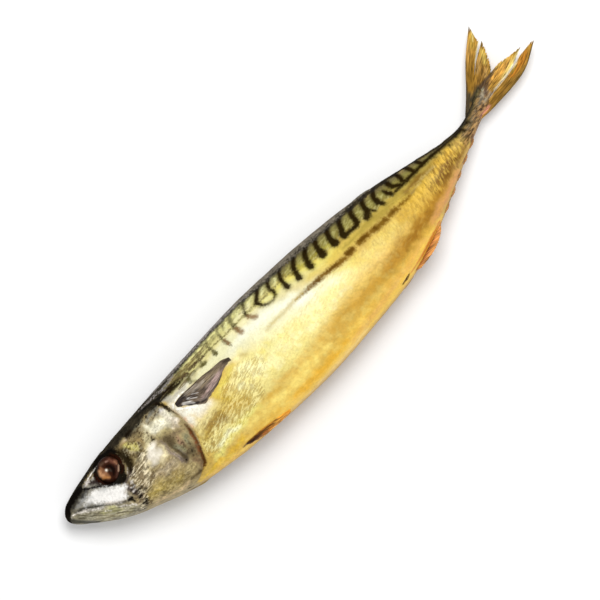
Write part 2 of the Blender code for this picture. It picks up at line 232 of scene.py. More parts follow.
def inside(strokes, places, flat=None):
    """How far each place is inside the nearest stroke: less than 0 outside all.

    A stroke is a chain of (along, height, half width)."""
    found = np.full(places.shape[:-1], FAR_OUTSIDE)
    for chain in strokes:
        spots = [(flat(x, height) if flat else (x, height)) for x, height, _ in chain]
        widths = [width for _, _, width in chain]
        if len(spots) == 1:
            spots, widths = spots * 2, widths * 2
        for (a, ra), (b, rb) in zip(zip(spots, widths), zip(spots[1:], widths[1:])):
            start, run = np.array(a), np.subtract(b, a)
            reach = max(ra, rb) + STROKE_REACH
            low, high = min(a[0], b[0]) - reach, max(a[0], b[0]) + reach
            near = (places[..., 0] > low) & (places[..., 0] < high)
            off = places[near] - start
            t = np.clip(off @ run / max(run @ run, 1e-9), 0, 1)
            gap = np.linalg.norm(off - t[:, None] * run, axis=-1) - ra - t * (rb - ra)
            found[near] = np.maximum(found[near], -gap)
    return found


def uneven(points, size, seed):
    """Smooth unevenness from about -1 to 1, in lumps of about the given size."""
    offset = Vector((seed * 17.3, seed * 5.1, seed * 9.7))
    lumps = [noise.noise(Vector(p) / size + offset) for p in points.reshape(-1, 3)]
    return np.reshape(lumps, points.shape[:-1])


# The dried skin's own waves, and its finest puckers, as (height, size, seed)
BROAD_WAVES, SMALL_WAVES, PUCKERS = (0.30, 26, 1), (0.10, 7, 2), (0.04, 2.2, 3)


def waves(points, height, size, seed):
    return height * uneven(points, size, seed)


def waviness(along, girth):
    """The dried skin's own unevenness."""
    points = on_skin(along, girth)
    return waves(points, *BROAD_WAVES) + waves(points, *SMALL_WAVES)


# The skin's grid of points: rings bowed to run along the gill cover, closer on the seen side than under it
HEAD_RINGS, TRUNK_RINGS, STEM_RINGS = 165, 190, 48
HEAD_END, TRUNK_END = 86.0, 255.0
SLIT_RINGS = (-0.25, -0.02, 0.12, 0.4)
LEFT_GIRTHS, RIGHT_GIRTHS = 170, 70

stations = np.sort(np.concatenate([
    np.linspace(SNOUT_START, HEAD_END, HEAD_RINGS, endpoint=False),
    np.linspace(HEAD_END, TRUNK_END, TRUNK_RINGS, endpoint=False),
    np.linspace(TRUNK_END, OUTLINE[-1, 0], STEM_RINGS),
    GILL_EDGE + np.array(SLIT_RINGS),
]))
girths = np.concatenate([
    np.linspace(0, math.pi, LEFT_GIRTHS, endpoint=False),
    np.linspace(-math.pi, 0, RIGHT_GIRTHS, endpoint=False),
])[None, :]
away = np.clip(np.abs(stations - GILL_EDGE) / GILL_REACH, 0, 1)
bow = (1 + np.cos(math.pi * away)) / 2
skin_along = stations[:, None] + (gill_edge(np.abs(girths)) - GILL_EDGE) * bow[:, None]
skin_along = np.clip(skin_along, SNOUT_START, None)
skin_girth = np.broadcast_to(girths, skin_along.shape)
skin_flat = np.stack([skin_along, arc_to(skin_along, skin_girth)], axis=-1)
skin_place = on_skin(skin_along, skin_girth)

# Relief, as (height, width of the shoulder, strokes): plates and folds stand up, grooves and pits go down
EYE_PLACE = (34.0, 17.2)
EVEN_SNOUT_TO = 4
RELIEF = {
    "upper jaw plate": (0.55, 0.7, [
        ((9, 14.6, 0.8), (13, 13.6, 2.0), (18, 12.4, 3.2), (24, 8.4, 3.9), (30, 4.6, 3.6)),
        ((33.4, 5.3, 1.5),),
    ]),
    "mouth groove": (-0.8, 0.7, [
        ((2.0, 15.2, 0.1), (8, 13.7, 0.3), (13, 10.9, 0.3), (18.5, 7.3, 0.3), (23, 3.0, 0.3),
         (28.4, -0.5, 0.4)),
        ((30.5, -1.5, 0.5), (31.8, -4.3, 0.3)),
    ]),
    "fold of the lower jaw": (-0.45, 0.8, [
        ((2.4, 11.8, 0.2), (6, 7.4, 0.3), (9, 4.2, 0.4), (13, 1.4, 0.3), (18, -2.5, 0.1)),
        ((12, 6.0, 0.2), (18, 0.6, 0.3), (24, -4.0, 0.2)),
    ]),
    "eye socket": (-2.6, 0.5, [((*EYE_PLACE, 6.4),)]),
    "rim of the eye": (0.35, 1.2, [((*EYE_PLACE, 8.2),)]),
    "nostrils": (-0.9, 0.4, [((22.4, 20.2, 0.25), (23.2, 19.2, 0.3)), ((20.0, 20.6, 0.2),)]),
    "snout ridge": (0.35, 1.4, [
        ((3, 17.0, 0.8), (9, 19.4, 1.2), (16, 21.0, 1.4), (26, 23.8, 1.2), (36, 25.6, 1.2)),
    ]),
    "crease below the eye": (-0.5, 0.6, [((27, 11.6, 0.2), (32, 8.4, 0.3), (37, 7.0, 0.4), (41, 10.0, 0.2))]),
    "cheek edge": (-0.5, 0.8, [
        ((62.5, 9.5, 0.4), (63.8, 4, 0.5), (64.4, -2, 0.5), (65.0, -8.5, 0.4), (63, -14, 0.2)),
    ]),
    "cheek plate": (0.3, 2.0, [((52, 4, 4), (58, 2, 4.5), (59, -6, 4))]),
    "gill cover hollow": (-0.35, 2.2, [((70, -1, 2.2), (70, -9, 2.0))]),
    "wrinkles at the jaw corner": (-0.4, 0.35, [
        ((36, 2.8, 0.1), (41, 4.2, 0.2), (46, 3.6, 0.1)), ((35, 0.6, 0.1), (39, -0.8, 0.25), (44, 0.4, 0.1)),
        ((34, -2.2, 0.2), (38.5, -2.9, 0.3), (43, -1.9, 0.1)),
        ((33.5, -5.2, 0.1), (37, -6.8, 0.3), (41, -5.4, 0.1)), ((33, -8.0, 0.3), (35.5, -8.6, 0.4)),
        ((40, 6.2, 0.1), (45, 7.4, 0.15), (50, 6.4, 0.1)), ((44, 1.6, 0.1), (48, 2.6, 0.15)),
        ((40, -3.6, 0.1), (45, -2.4, 0.1)),
    ]),
    "lateral line": (-0.14, 0.5, [
        ((83.7, 21.8, 0.1), (95, 22.2, 0.15), (112, 21.6, 0.15), (126, 20.9, 0.15), (148, 20.6, 0.15),
         (180, 15, 0.1), (210, 9, 0.1), (235, 4.5, 0.1), (258, 2.4, 0.1)),
    ]),
    "vent": (-0.8, 0.5, [((204.3, -26.3, 0.1), (206.8, -25.9, 0.35), (209.8, -25.2, 0.1))]),
    "fold over the vent": (0.35, 0.7, [((203.6, -25.1, 0.2), (206.8, -24.6, 0.5), (210.6, -23.9, 0.2))]),
    "tail keels": (0.8, 0.8, [
        ((294.6, 8.2, 0.2), (299, 11.0, 0.5), (303, 13.6, 0.2)),
        ((291.6, 4.8, 0.2), (296.5, 5.2, 0.5), (301.5, 5.7, 0.2)),
    ]),
}
relief = waviness(skin_along, skin_girth) + waves(skin_place, *PUCKERS)
relief *= smooth(skin_along / EVEN_SNOUT_TO)
for height, shoulder, strokes in RELIEF.values():
    relief += height * smooth(1 + inside(strokes, skin_flat, flattened) / shoulder)


def laid(points):
    """The points in the frame, pressed onto the table where they would sink into it."""
    placed = lay_down(points) + IN_FRAME
    placed[..., 2] = np.maximum(placed[..., 2], TABLE_GAP)
    return placed


def loft(name, rings):
    """A closed smooth mesh over rings of points, with a cap on each end."""
    count, around = rings.shape[:2]
    index = np.arange(count * around).reshape(count, around)
    beside = np.roll(index, -1, axis=1)
    quads = np.stack([index[:-1], beside[:-1], beside[1:], index[1:]], axis=-1).reshape(-1, 4)
    faces = quads.tolist() + [index[0].tolist(), index[-1].tolist()]
    mesh = bpy.data.meshes.new(name)
    mesh.from_pydata((rings.reshape(-1, 3) * MM).tolist(), [], faces)
    bm = bmesh.new()
    bm.from_mesh(mesh)
    bmesh.ops.recalc_face_normals(bm, faces=bm.faces)
    bm.to_mesh(mesh)
    bm.free()
    mesh.shade_smooth()
    obj = bpy.data.objects.new(name, mesh)
    bpy.context.scene.collection.objects.link(obj)
    return obj


def keep(obj, name, values):
    """Stores a value, a place or a colour for each point of the mesh, for its material to read."""
    kind, field = {1: ("FLOAT", "value"), 3: ("FLOAT_VECTOR", "vector"), 4: ("FLOAT_COLOR", "color")}[
        1 if values.ndim == 2 else values.shape[-1]
    ]
    attribute = obj.data.attributes.new(name, kind, "POINT")
    attribute.data.foreach_set(field, np.ascontiguousarray(values, dtype=np.float32).ravel())


def paint(colour):
    """A colour written as red, green, blue from 0 to 255, as light for the shader."""
    share = np.array(colour) / 255
    light = np.where(share <= 0.04045, share / 12.92, ((share + 0.055) / 1.055) ** 2.4)
    return np.append(light, 1.0)


def washed(colours, colour, cover):
    """The colours with one more laid over them, as thickly as cover says at each point."""
    return colours + (paint(colour) - colours) * cover[..., None]


skin = loft("mackerel_skin", laid(on_skin(skin_along, skin_girth, relief)))

# Washes: broad soft colours under the markings, as (colour, soft edge, strength, strokes)
SMOKED_GOLD = (208, 174, 82)
HEAD_HIDE = (160, 142, 98)
TRUNK_WASHES = {
    "ground of the side of the back": ((224, 214, 148), 2.5, 1.0, [
        ((84, 20.6, 3), (104, 20.6, 3.4), (130, 20.4, 3.6), (148, 18.6, 3.4), (162, 15.6, 3.4), (174, 12, 3),
         (184, 9.8, 2)),
    ]),
    "pale ground of the back": ((204, 198, 128), 3, 1.0, [
        ((84, 27, 6), (104, 27, 7), (125, 27, 8), (145, 26, 8), (160, 24, 6)),
    ]),
    "olive ground of the back": ((138, 128, 56), 3, 1.0, [
        ((166, 22, 4), (185, 19, 5.5), (205, 16.5, 6), (225, 13.5, 5.5), (245, 10.5, 4), (262, 7.8, 2)),
    ]),
    "amber belly": ((248, 204, 80), 5, 1.0, [
        ((70, -26, 4), (90, -28, 8), (150, -30, 9), (200, -27, 8), (238, -19, 6)),
    ]),
    "straw front": ((224, 206, 124), 4, 1.0, [((80, -10, 8), (95, -9, 9), (110, -9, 9), (122, -9, 6))]),
    "pale flank": ((226, 213, 136), 5, 1.0, [
        ((114, 0, 6), (122, -1, 10), (140, -2, 12), (160, -1, 11), (178, -1, 7), (192, -2, 3.5)),
    ]),
    # Partly the pale silver of the upper flank, partly a painted highlight where the soft light shines on it
    "palest flank and its painted highlight": ((231, 226, 182), 4, 1.0, [
        ((114, 13, 3), (130, 12, 6), (150, 10, 8), (166, 5, 6), (180, 1.4, 3), (190, 0, 1)),
    ]),
    "straw flank": ((232, 218, 130), 3.5, 0.8, [((128, -11, 2), (138, -14, 2.5), (150, -11, 2))]),
    "yellow mid flank": ((218, 204, 96), 2.5, 0.8, [
        ((130, 0.6, 1), (136, 0.2, 1.6), (141, -1, 0.8)), ((184, 2, 1), (192, 0, 1.6), (198, 1, 1)),
    ]),
    "lit front flank": ((246, 236, 166), 2.5, 0.9, [
        ((117, 3.4, 1.4), (121, 2.4, 2), (122, -2.4, 2)), ((119, 9, 1.2), (123, 10, 1.4)),
    ]),
    "gold flank": ((214, 180, 84), 5.5, 0.85, [
        ((164, -14, 1), (180, -14, 1.6), (194, -12.4, 2.0), (202, -12.6, 1.6)),
    ]),
    # A painted highlight: the white gleam of the light along the upper flank
    "white gleam": ((244, 244, 220), 3, 0.85, [
        ((114, 15.5, 1), (134, 14.6, 3), (150, 12, 3), (160, 8, 3), (168, 3, 2)),
    ]),
    "yellow under the bars": ((214, 190, 82), 3.5, 0.95, [
        ((174, 10.4, 0.8), (180, 9.8, 1.4), (188, 9.0, 2.0), (200, 8, 2.6), (220, 6, 2.8), (240, 4.5, 2.2),
         (252, 4, 1.5)),
    ]),
    "olive under the bars": ((162, 138, 50), 1.5, 0.85, [
        ((196, 8.4, 1.0), (210, 7.2, 1.8), (226, 6, 2), (246, 5, 1.5), (258, 4.5, 1)),
    ]),
    "brown lower flank": ((178, 136, 40), 4.5, 1.0, [
        ((164, -15.6, 1.0), (172, -15.6, 1.6), (186, -16, 2.6), (202, -15.8, 3.6), (222, -13.2, 4.4),
         (238, -10.4, 4), (252, -7, 3)),
    ]),
    "darkest lower flank": ((148, 96, 2), 4, 0.8, [
        ((204, -15.4, 1.2), (222, -14, 2.6), (236, -11.6, 2.6), (246, -8.8, 3.4), (256, -6.0, 2.6),
         (264, -2.6, 2.4)),
    ]),
    "shade under the flank": ((206, 168, 66), 2.2, 0.8, [
        ((110, -15.4, 0.8), (117, -16.4, 1.8), (124, -16.4, 1.0)),
    ]),
    "yellow belly side": ((254, 230, 124), 3, 0.95, [
        ((100, -19, 1), (108, -20.4, 2), (118, -21.2, 2.8), (130, -21.2, 3), (144, -20.4, 2.6),
         (156, -19.6, 1.2)),
    ]),
    "pale hem of the belly": ((252, 214, 124), 2, 0.9, [
        ((118, -29.6, 1.5), (136, -30.4, 2), (156, -30.2, 2), (174, -29, 1.5)),
    ]),
    "deep amber": ((242, 184, 40), 2, 0.9, [((126, -26.5, 2), (150, -26.5, 2.5), (164, -26, 1.5))]),
    "rose amber": ((236, 184, 90), 2.5, 0.9, [
        ((166, -27.5, 1.5), (180, -26.5, 2), (196, -24, 2.5), (212, -22, 2), (228, -18.5, 1.5)),
    ]),
    "rose stem": ((216, 156, 92), 1.8, 0.9, [
        ((236, -16, 1.5), (246, -13.5, 2), (256, -10.5, 2), (264, -7.5, 1.5)),
    ]),
    "pale gold rear": ((216, 190, 86), 4, 0.9, [
        ((196, -3, 3), (206, -3, 3.6), (216, -3, 3.6), (226, -4, 3)),
    ]),
    "rear gold": ((200, 160, 42), 4, 0.95, [((228, -4, 3), (236, -2, 4), (248, 0.6, 3))]),
    "stem gold": ((220, 174, 52), 2, 0.95, [((254, 1.8, 1.6), (262, 1.8, 2.4), (270, 2.4, 2.4))]),
    "end of the gold": ((220, 184, 88), 1.5, 0.9, [((272, 3.2, 1.8), (278.4, 3.8, 1.6))]),
    "shade along the stem": ((124, 91, 14), 2.2, 0.95, [
        ((238, 5, 1.0), (247, 4.4, 1.9), (254, 4.0, 1.4), (261, 3.8, 0.4)),
    ]),
    "stem brown": ((116, 74, 2), 1.8, 0.95, [
        ((254, -4.4, 1.5), (264, -1.6, 2.4), (270, -2.0, 1.4), (279, 0.2, 0.8)),
    ]),
    "stem folds": ((184, 142, 78), 0.8, 0.8, [
        ((264, -5.5, 0.5), (276, -2.6, 0.6), (283, 0.6, 0.5)), ((270, -1.8, 0.3), (279, 0.6, 0.4)),
    ]),
    "leaf gold": ((230, 218, 110), 2, 0.9, [
        ((147, 18.4, 1.0), (160, 18.2, 1.6), (170, 15.6, 1.8), (182, 12.6, 1.6), (192, 11.4, 1.0)),
    ]),
    "deep leaf gold": ((186, 174, 62), 1.6, 0.9, [
        ((168, 18.6, 1.0), (175, 17.0, 2.0), (183, 15.6, 1.6), (192, 14.6, 1.4)),
    ]),
    "cream under the first bars": ((238, 230, 180), 1.6, 0.95, [
        ((122, 18.6, 1.2), (134, 18.8, 1.4), (144, 17.4, 1.0)), ((133.6, 22.4, 1.6), (142.6, 22.6, 1.4)),
        ((125.4, 21.4, 1.0),),
    ]),
    "shoulder gold": ((146, 116, 50), 1.3, 0.9, [
        ((88, 24.8, 0.8), (94, 24.8, 1.0), (98, 24.6, 0.8), (104, 24.0, 0.4)),
    ]),
    "shoulder pale": ((230, 226, 180), 1.6, 1.0, [
        ((84, 17.2, 1.2), (97, 17.2, 1.6), (104, 16.4, 2.4), (112, 16.2, 3.2), (124, 17.6, 2.6)),
        ((98, 15.4, 0.8), (106, 14.6, 1.2), (114, 13.4, 1.4)),
    ]),
    "shoulder olive": ((140, 132, 82), 1.3, 0.9, [
        ((80, 21.4, 0.8), (88, 20.8, 1.2), (96, 20.2, 1.4), (103, 19.8, 1.0), (108, 19.6, 0.6)),
        ((93.4, 18.6, 0.9), (96.2, 16.6, 1.0)), ((113.4, 19.6, 0.8),),
    ]),
    "shoulder straw": ((212, 204, 132), 1.2, 0.9, [
        ((99, 21.2, 0.6), (103, 20.8, 0.6)), ((107, 23, 0.8), (112, 23.4, 1.8), (117, 23, 1.4)),
        ((110, 20.6, 0.6),),
    ]),
    "shoulder dark": ((52, 40, 28), 1.4, 0.95, [
        ((74.6, 22.6, 1.0), (77, 23.4, 1.8), (84, 23.2, 2.0), (89, 22.6, 1.4), (94, 22.6, 0.6)),
    ]),
    "shoulder grey": ((164, 158, 128), 1.2, 0.8, [((92, 19.4, 0.8), (96, 19.2, 1.0), (101, 19.6, 0.6))]),
    "straw behind the gill": ((222, 208, 144), 3, 0.9, [((80, -1, 3), (87, -1.6, 3), (95, 0.4, 2))]),
    "white behind the gill": ((236, 232, 214), 3, 1.0, [
        ((80, 18, 1.4), (80, 14, 2.0), (80.4, 9, 2.6), (81, 3.4, 2.4)),
        ((82, 8, 3), (87, 6, 4.0), (93, 4.0, 2)), ((80, 18, 1.6), (86, 17.8, 1.6), (93, 17.4, 0.6)),
    ]),
    "grey over the slit": ((168, 164, 148), 1.2, 0.95, [
        ((76.4, 21.8, 0.9), (79, 20.6, 1.6), (82, 19.8, 1.2)),
    ]),
    "grey behind the gill": ((188, 182, 164), 1.6, 0.9, [
        ((81, 18.8, 1.0), (86, 18.2, 1.4), (92, 18.4, 1.0)),
    ]),
    "olive behind the gill": ((170, 140, 48), 2, 0.95, [
        ((79, -7.6, 1.2), (83, -6.3, 1.8), (88, -5.2, 2.4), (93.4, -5.4, 2.6), (95.6, -9.4, 2.4)),
    ]),
    "darkest olive": ((146, 118, 50), 1.2, 0.8, [
        ((84, -5, 0.6), (88, -4.6, 1), (90.5, -6.5, 1.2), (94, -9, 1)),
    ]),
    "yellow over the throat": ((236, 224, 122), 2, 0.95, [
        ((76, -18, 1), (84, -15.5, 2.5), (92, -15, 3), (100, -15.5, 2), (110, -16.5, 1)),
    ]),
    # A painted highlight on the yellow of the throat
    "painted highlight over the throat": ((252, 251, 204), 1.4, 0.95, [
        ((82, -14.4, 1.0), (88, -14.4, 1.2), (91, -14.6, 1.4), (95, -15.6, 0.8)),
    ]),
    "gold fold": ((194, 158, 46), 2.5, 0.9, [((97, -5, 2), (103, -7, 3.6), (107, -9.4, 2.8))]),
    "deep gold": ((190, 159, 26), 3.4, 0.95, [
        ((98.4, 2.2, 0.9), (100, 0.4, 1.9), (103, -2, 2.4), (106, -4, 2.2), (110, -6, 1.0)),
    ]),
    "gold behind the fin": ((218, 198, 86), 2.2, 0.95, [
        ((98, 4.4, 0.8), (102, 4.2, 1.8), (108, 5.6, 1.8), (113.6, 7.4, 1.2)),
    ]),
    "throat": ((226, 186, 46), 1.6, 0.95, [
        ((62.4, -20.6, 0.4), (67, -20.6, 1.2), (76, -21, 2.4), (92, -21.4, 1.8)),
    ]),
    "rose at the slit": ((236, 202, 170), 0.9, 0.95, [
        ((78.4, 7.6, 0.8), (80.6, 6.6, 0.5)), ((78.8, 5, 0.6), (78.8, 0.5, 0.5)),
    ]),
}
HEAD_WASHES = {
    "front of the head": ((150, 145, 132), 2.5, 1.0, [((4, 14, 5), (14, 13, 8), (24, 9, 10), (30, 4, 5))]),
    "snout grey": ((36, 34, 31), 1.4, 1.0, [
        ((3, 15.2, 1), (7, 17.0, 1.6), (12, 18.2, 1.4), (18, 18.4, 1.6)), ((17, 21.6, 0.8),),
    ]),
    "lip grey": ((138, 137, 132), 1.2, 1.0, [((8.8, 15.0, 0.6), (12, 15.8, 0.9), (15.6, 16.6, 0.9))]),
    "jaw": ((146, 138, 112), 1.5, 1.0, [((2, 12, 3), (8, 6.5, 4.5), (16, 0, 5), (24, -5, 4.5), (31, -9, 3))]),
    "jaw dark": ((118, 112, 90), 1.0, 0.9, [
        ((4.6, 11, 0.8), (8.4, 8.4, 1.5), (12.4, 6.0, 1.1)), ((6, 6.4, 0.4), (10, 3, 0.4)),
    ]),
    "jaw olive": ((146, 136, 92), 1.0, 0.9, [((13, 1.6, 0.8), (18, -1, 1.2), (23, -4, 1.2), (27, -6, 0.8))]),
    "jaw brown": ((112, 98, 62), 0.8, 0.85, [
        ((17, 0.4, 0.4), (20, -1.4, 0.6), (24, -3.6, 0.5)), ((15, 4.6, 0.3), (18, 1.6, 0.4)),
    ]),
    "jaw yellow": ((190, 186, 130), 0.9, 0.95, [
        ((15.4, 5.2, 0.6), (18.4, 3.0, 1.1), (21.4, 0.4, 0.9), (24.4, -2, 0.5)),
    ]),
    "jaw cream": ((196, 186, 152), 1.1, 0.7, [
        ((24, -0.6, 0.4), (28.6, -4.2, 0.5)), ((15, 6.8, 0.3), (19, 4.2, 0.4)),
    ]),
    "nostril patch": ((182, 175, 170), 0.8, 1.0, [((19.6, 20.2, 1.0), (21.6, 20.0, 1.1))]),
    "beside the nostril": ((48, 34, 28), 0.8, 1.0, [
        ((22.6, 18.4, 1.2), (25.6, 17.2, 1.6)), ((23.8, 21.0, 0.5), (29, 22.6, 0.6)),
    ]),
    "brown brow": ((86, 60, 44), 0.6, 0.9, [((29.4, 23.5, 0.4), (32.2, 23.6, 0.4))]),
    "olive behind the eye": ((78, 62, 18), 1.2, 0.95, [
        ((45.6, 23.4, 1.2), (46.2, 18.4, 1.6), (46.0, 13.6, 1.6), (46.2, 11.6, 1.2), (43.4, 8.8, 0.9)),
        ((49.8, 11.9, 1.2), (53.6, 12.2, 0.8)),
    ]),
    "tan behind the eye": ((170, 144, 92), 1.0, 0.95, [
        ((47.6, 20.8, 0.9), (49.4, 21.6, 0.8)), ((55.4, 16.4, 1.0), (57.0, 13.6, 1.0)),
    ]),
    "brown among the yellow": ((84, 66, 26), 0.8, 0.9, [
        ((47.6, 16.2, 0.4), (48.0, 13.6, 0.5)), ((50.6, 18.8, 0.4), (53.8, 17.6, 0.6)),
        ((54.2, 14.6, 0.4), (54.0, 12.6, 0.4)),
    ]),
    "yellow behind the eye": ((244, 232, 120), 1.0, 0.95, [
        ((48.4, 19.6, 0.6), (49.6, 17.4, 1.0), (51.6, 15.8, 1.3), (51.8, 13.6, 0.8)),
    ]),
    "brown behind the eye": ((72, 56, 30), 1.2, 0.95, [
        ((51.8, 21.2, 1.5), (55, 20.8, 1.5), (57.4, 19.8, 0.9)),
    ]),
    "rose behind the eye": ((200, 182, 150), 0.7, 0.9, [((48.8, 21.8, 0.5), (50.6, 21.2, 0.5))]),
    "grey above the cover": ((110, 106, 86), 1.0, 0.95, [
        ((56.6, 22.4, 1.2), (59.6, 21.4, 1.0), (62.4, 22.6, 1.0)),
    ]),
    "cream under the eye": ((218, 206, 160), 1.2, 0.95, [
        ((48, 9.0, 0.8), (54, 8.8, 1.0), (58, 10.8, 1.5), (59.4, 14.4, 1.5), (60.8, 17.4, 0.9)),
    ]),
    "purple corner": ((78, 66, 62), 1.1, 0.95, [
        ((34.6, 3.4, 1.6), (35.4, -1.6, 1.8), (36, -5, 1.2), (35.6, -8, 1.0)),
        ((36.0, 6.6, 1.4), (41.2, 7.6, 1.4)),
    ]),
    "wrinkled corner": ((200, 180, 138), 1.4, 0.95, [
        ((40, 3.6, 0.8), (44, 3.6, 1.8), (44.6, 0.8, 1.6), (41.4, -2.2, 1.4)),
    ]),
    "lit cheek": ((234, 219, 176), 1.2, 0.95, [
        ((45.4, -0.6, 1.2), (47, 2.4, 1.4), (50, 3.6, 1.4), (51.4, 6.4, 1.3)),
        ((48.6, 7.6, 0.9), (50.6, 7.8, 0.7)), ((57, 0.2, 1.0), (58.6, 1.0, 1.0)),
    ]),
    "cream corner": ((196, 176, 138), 0.8, 0.9, [((32.4, -5.6, 0.7), (38.6, -4.4, 0.8))]),
    "cheek cream": ((255, 247, 230), 1.6, 1.0, [
        ((52.6, 6.2, 1.6), (56, 6.6, 2.9), (58.6, 8.6, 1.7)), ((53.2, 4.2, 1.9), (58.8, 4.6, 1.8)),
    ]),
    "cheek straw": ((226, 212, 168), 1.3, 0.95, [((57, 0.8, 1.0), (60.8, 2.2, 1.6), (61.6, 5.6, 0.9))]),
    "cheek rose grey": ((194, 177, 148), 1.8, 0.95, [((48.4, -1.8, 1.2), (54, -3.8, 2.2), (60.4, -4, 1.6))]),
    "cheek rose brown": ((150, 126, 88), 1.0, 0.7, [((50, -4, 0.8), (52.6, -4.4, 0.5))]),
    "cheek olive": ((184, 161, 78), 2, 0.95, [
        ((38.2, -6.4, 1.2), (43, -7.2, 2.4), (49, -9.8, 2.0), (56, -11.6, 2.2)),
    ]),
    "cheek low": ((152, 132, 78), 1.6, 0.9, [
        ((48, -10.2, 0.8), (54, -9.4, 1.2), (58.6, -9, 1.4)),
        ((50, -13.2, 0.6), (56, -14.0, 1.0), (62, -14, 1.4)),
    ]),
    "cheek pale fold": ((198, 180, 124), 0.9, 0.7, [
        ((60, -11, 0.5), (63, -11.6, 0.7)), ((44, -12.6, 0.5), (52, -15.4, 0.4)),
    ]),
    "head keel": ((206, 180, 134), 1.0, 0.95, [
        ((38, -11.6, 0.8), (43, -13.0, 1.2), (48, -15.0, 0.7), (54, -16.6, 1.2), (59, -17.2, 0.8)),
    ]),
    "purple edge": ((128, 112, 104), 0.9, 0.95, [
        ((62.6, 8, 0.5), (62.8, 0, 0.8), (63.3, -6, 0.9), (64.4, -9.4, 0.5)),
    ]),
    "dark behind the edge": ((60, 46, 25), 1.6, 0.95, [
        ((64.4, 9.0, 0.8), (66.2, 4.0, 2.5), (65.8, 0, 1.3), (65.4, -6.4, 1.2), (65, -8.6, 0.8)),
    ]),
    "cover cream": ((240, 235, 204), 1.8, 1.0, [
        ((62.4, 19.4, 0.9), (64.4, 15.4, 2.8), (70, 13.8, 3.0), (74.4, 12.6, 2.6)),
    ]),
    "cover white edge": ((230, 225, 220), 1.0, 0.95, [
        ((73.2, 18.2, 1.0), (74.8, 15.6, 0.8)), ((74.6, 10.4, 0.6), (75.8, 8.4, 0.5)),
    ]),
    "cover bright": ((252, 247, 220), 1.2, 1.0, [
        ((62.6, 18.6, 0.8),), ((64, 14.8, 1.6), (70, 13.8, 1.7)), ((75.0, 16.6, 0.9), (75.2, 12.6, 1.3)),
    ]),
    "cover grey": ((120, 120, 112), 1.3, 0.95, [
        ((66, 20.6, 1.0), (70, 20.8, 1.2), (73.6, 21, 1.0)), ((70.6, 18.4, 0.9), (73, 19.4, 0.8)),
        ((66.2, 18.6, 0.6),),
    ]),
    "cover olive band": ((182, 170, 120), 1.2, 0.8, [
        ((63.4, 11.2, 0.5), (68.6, 9.4, 1.1), (70.6, 8.6, 0.8)),
    ]),
    "cover beige": ((224, 206, 176), 1.2, 0.95, [((74.0, 9.4, 0.9), (75.4, 7.8, 0.8))]),
    "cover brown grey": ((118, 100, 72), 1.5, 0.95, [
        ((70, 5.4, 1.6), (73.6, 4.4, 1.2)), ((71.4, -4.8, 0.8), (68, -5.4, 0.8)),
    ]),
    "cover rose": ((158, 122, 96), 0.9, 0.9, [((70, 2.6, 0.6), (69.4, 0.8, 1.0), (70.4, -1.8, 0.9))]),
    "cover green": ((136, 136, 104), 1.2, 0.95, [
        ((73.2, 0.6, 1.3), (73.2, -2, 1.1)), ((66.8, -0.2, 0.8), (68.2, -3.4, 0.9)),
    ]),
    "cover dark": ((58, 44, 20), 2.2, 0.95, [
        ((66, -6.6, 1.4), (70.4, -6.8, 1.4)), ((66, -16.8, 1.4), (66.4, -18, 0.6)),
    ]),
    "cover red": ((100, 66, 30), 1.0, 0.95, [
        ((74.4, -5.8, 0.8), (73.6, -9, 1.2)), ((68.6, -9.8, 0.3), (72, -9.8, 0.6)),
    ]),
    "cover brown": ((112, 88, 60), 1.2, 0.95, [((67, -11.2, 0.6), (70, -12.4, 1.4), (69, -15.2, 1.2))]),
    "cover straw": ((186, 168, 116), 1.2, 0.95, [((62.6, -12.2, 1.1), (66, -13.4, 1.0))]),
    "cover hem": ((86, 66, 28), 0.9, 0.95, [((61, -16.6, 0.6), (65.6, -17.2, 1.2), (69, -16.6, 0.8))]),
    "cover pearl": ((242, 232, 210), 1.1, 0.95, [((74.0, 14.0, 1.0), (74.2, 11, 1.2)), ((75.8, 8.6, 0.4),)]),
}
TAIL_STEM_WASHES = {
    "stem end": ((108, 80, 38), 2.0, 1.0, [((284, 4, 2.5), (288, 4.6, 9), (303, 9.5, 20))]),
    "tan under the stem": ((180, 136, 80), 1.0, 0.8, [
        ((268, -6.6, 0.8), (276, -4.4, 1.0), (284, -0.6, 1.2), (290, 1.4, 0.8)),
    ]),
    "slate top of the stem": ((52, 46, 30), 1.2, 1.0, [
        ((276, 5.8, 0.6), (281, 6.4, 1.4), (286, 7.8, 1.0), (290, 9.4, 1.4), (296, 13.4, 2.0),
         (302, 16.4, 2.4)),
    ]),
    "olive wedge": ((78, 70, 40), 0.9, 0.9, [((291, 8.4, 0.6), (297, 11.4, 1.2), (303, 13.6, 1.0))]),
    "pale wedge": ((158, 146, 122), 0.8, 0.95, [
        ((296, 8.0, 0.5), (300, 9.6, 1.2), (304, 11, 1.2)), ((299, 7.0, 0.6), (304, 8.2, 0.8)),
    ]),
    "brown ribs": ((190, 154, 104), 0.6, 0.95, [
        ((281, -0.8, 0.4), (285, 1.8, 0.8), (290, 3.2, 0.9), (294, 5.0, 0.3)),
        ((286, 5.0, 0.3), (290.6, 6.6, 0.3)), ((289.6, 3.9, 0.5), (291, 1.8, 0.5)),
    ]),
    "dark ribs": ((52, 34, 14), 0.5, 0.9, [
        ((280, -2, 0.3), (283, 0.8, 0.5), (287, 2.6, 0.3)), ((288, 6.2, 0.3), (293, 8.2, 0.4)),
        ((283, 4.6, 0.5),),
    ]),
    "rose root": ((218, 152, 124), 0.9, 0.95, [((293.8, 3.8, 1.2), (297.4, 3.8, 1.5), (300, 3.8, 0.6))]),
    "plum root": ((66, 34, 26), 0.7, 0.95, [
        ((290.6, 6.2, 0.5), (293.4, 4.6, 0.4)), ((293.4, 5.6, 0.8), (296.6, 6.5, 0.8)),
    ]),
}
# How far the washes' edges wander, the size of the lumps that they wander in and a seed
COARSE_WANDER, SMALL_WANDER = (1.6, 5.0, 4), (0.8, 1.8, 6)
# How much softer the edges are on the head
HEAD_SOFTNESS = 1.3

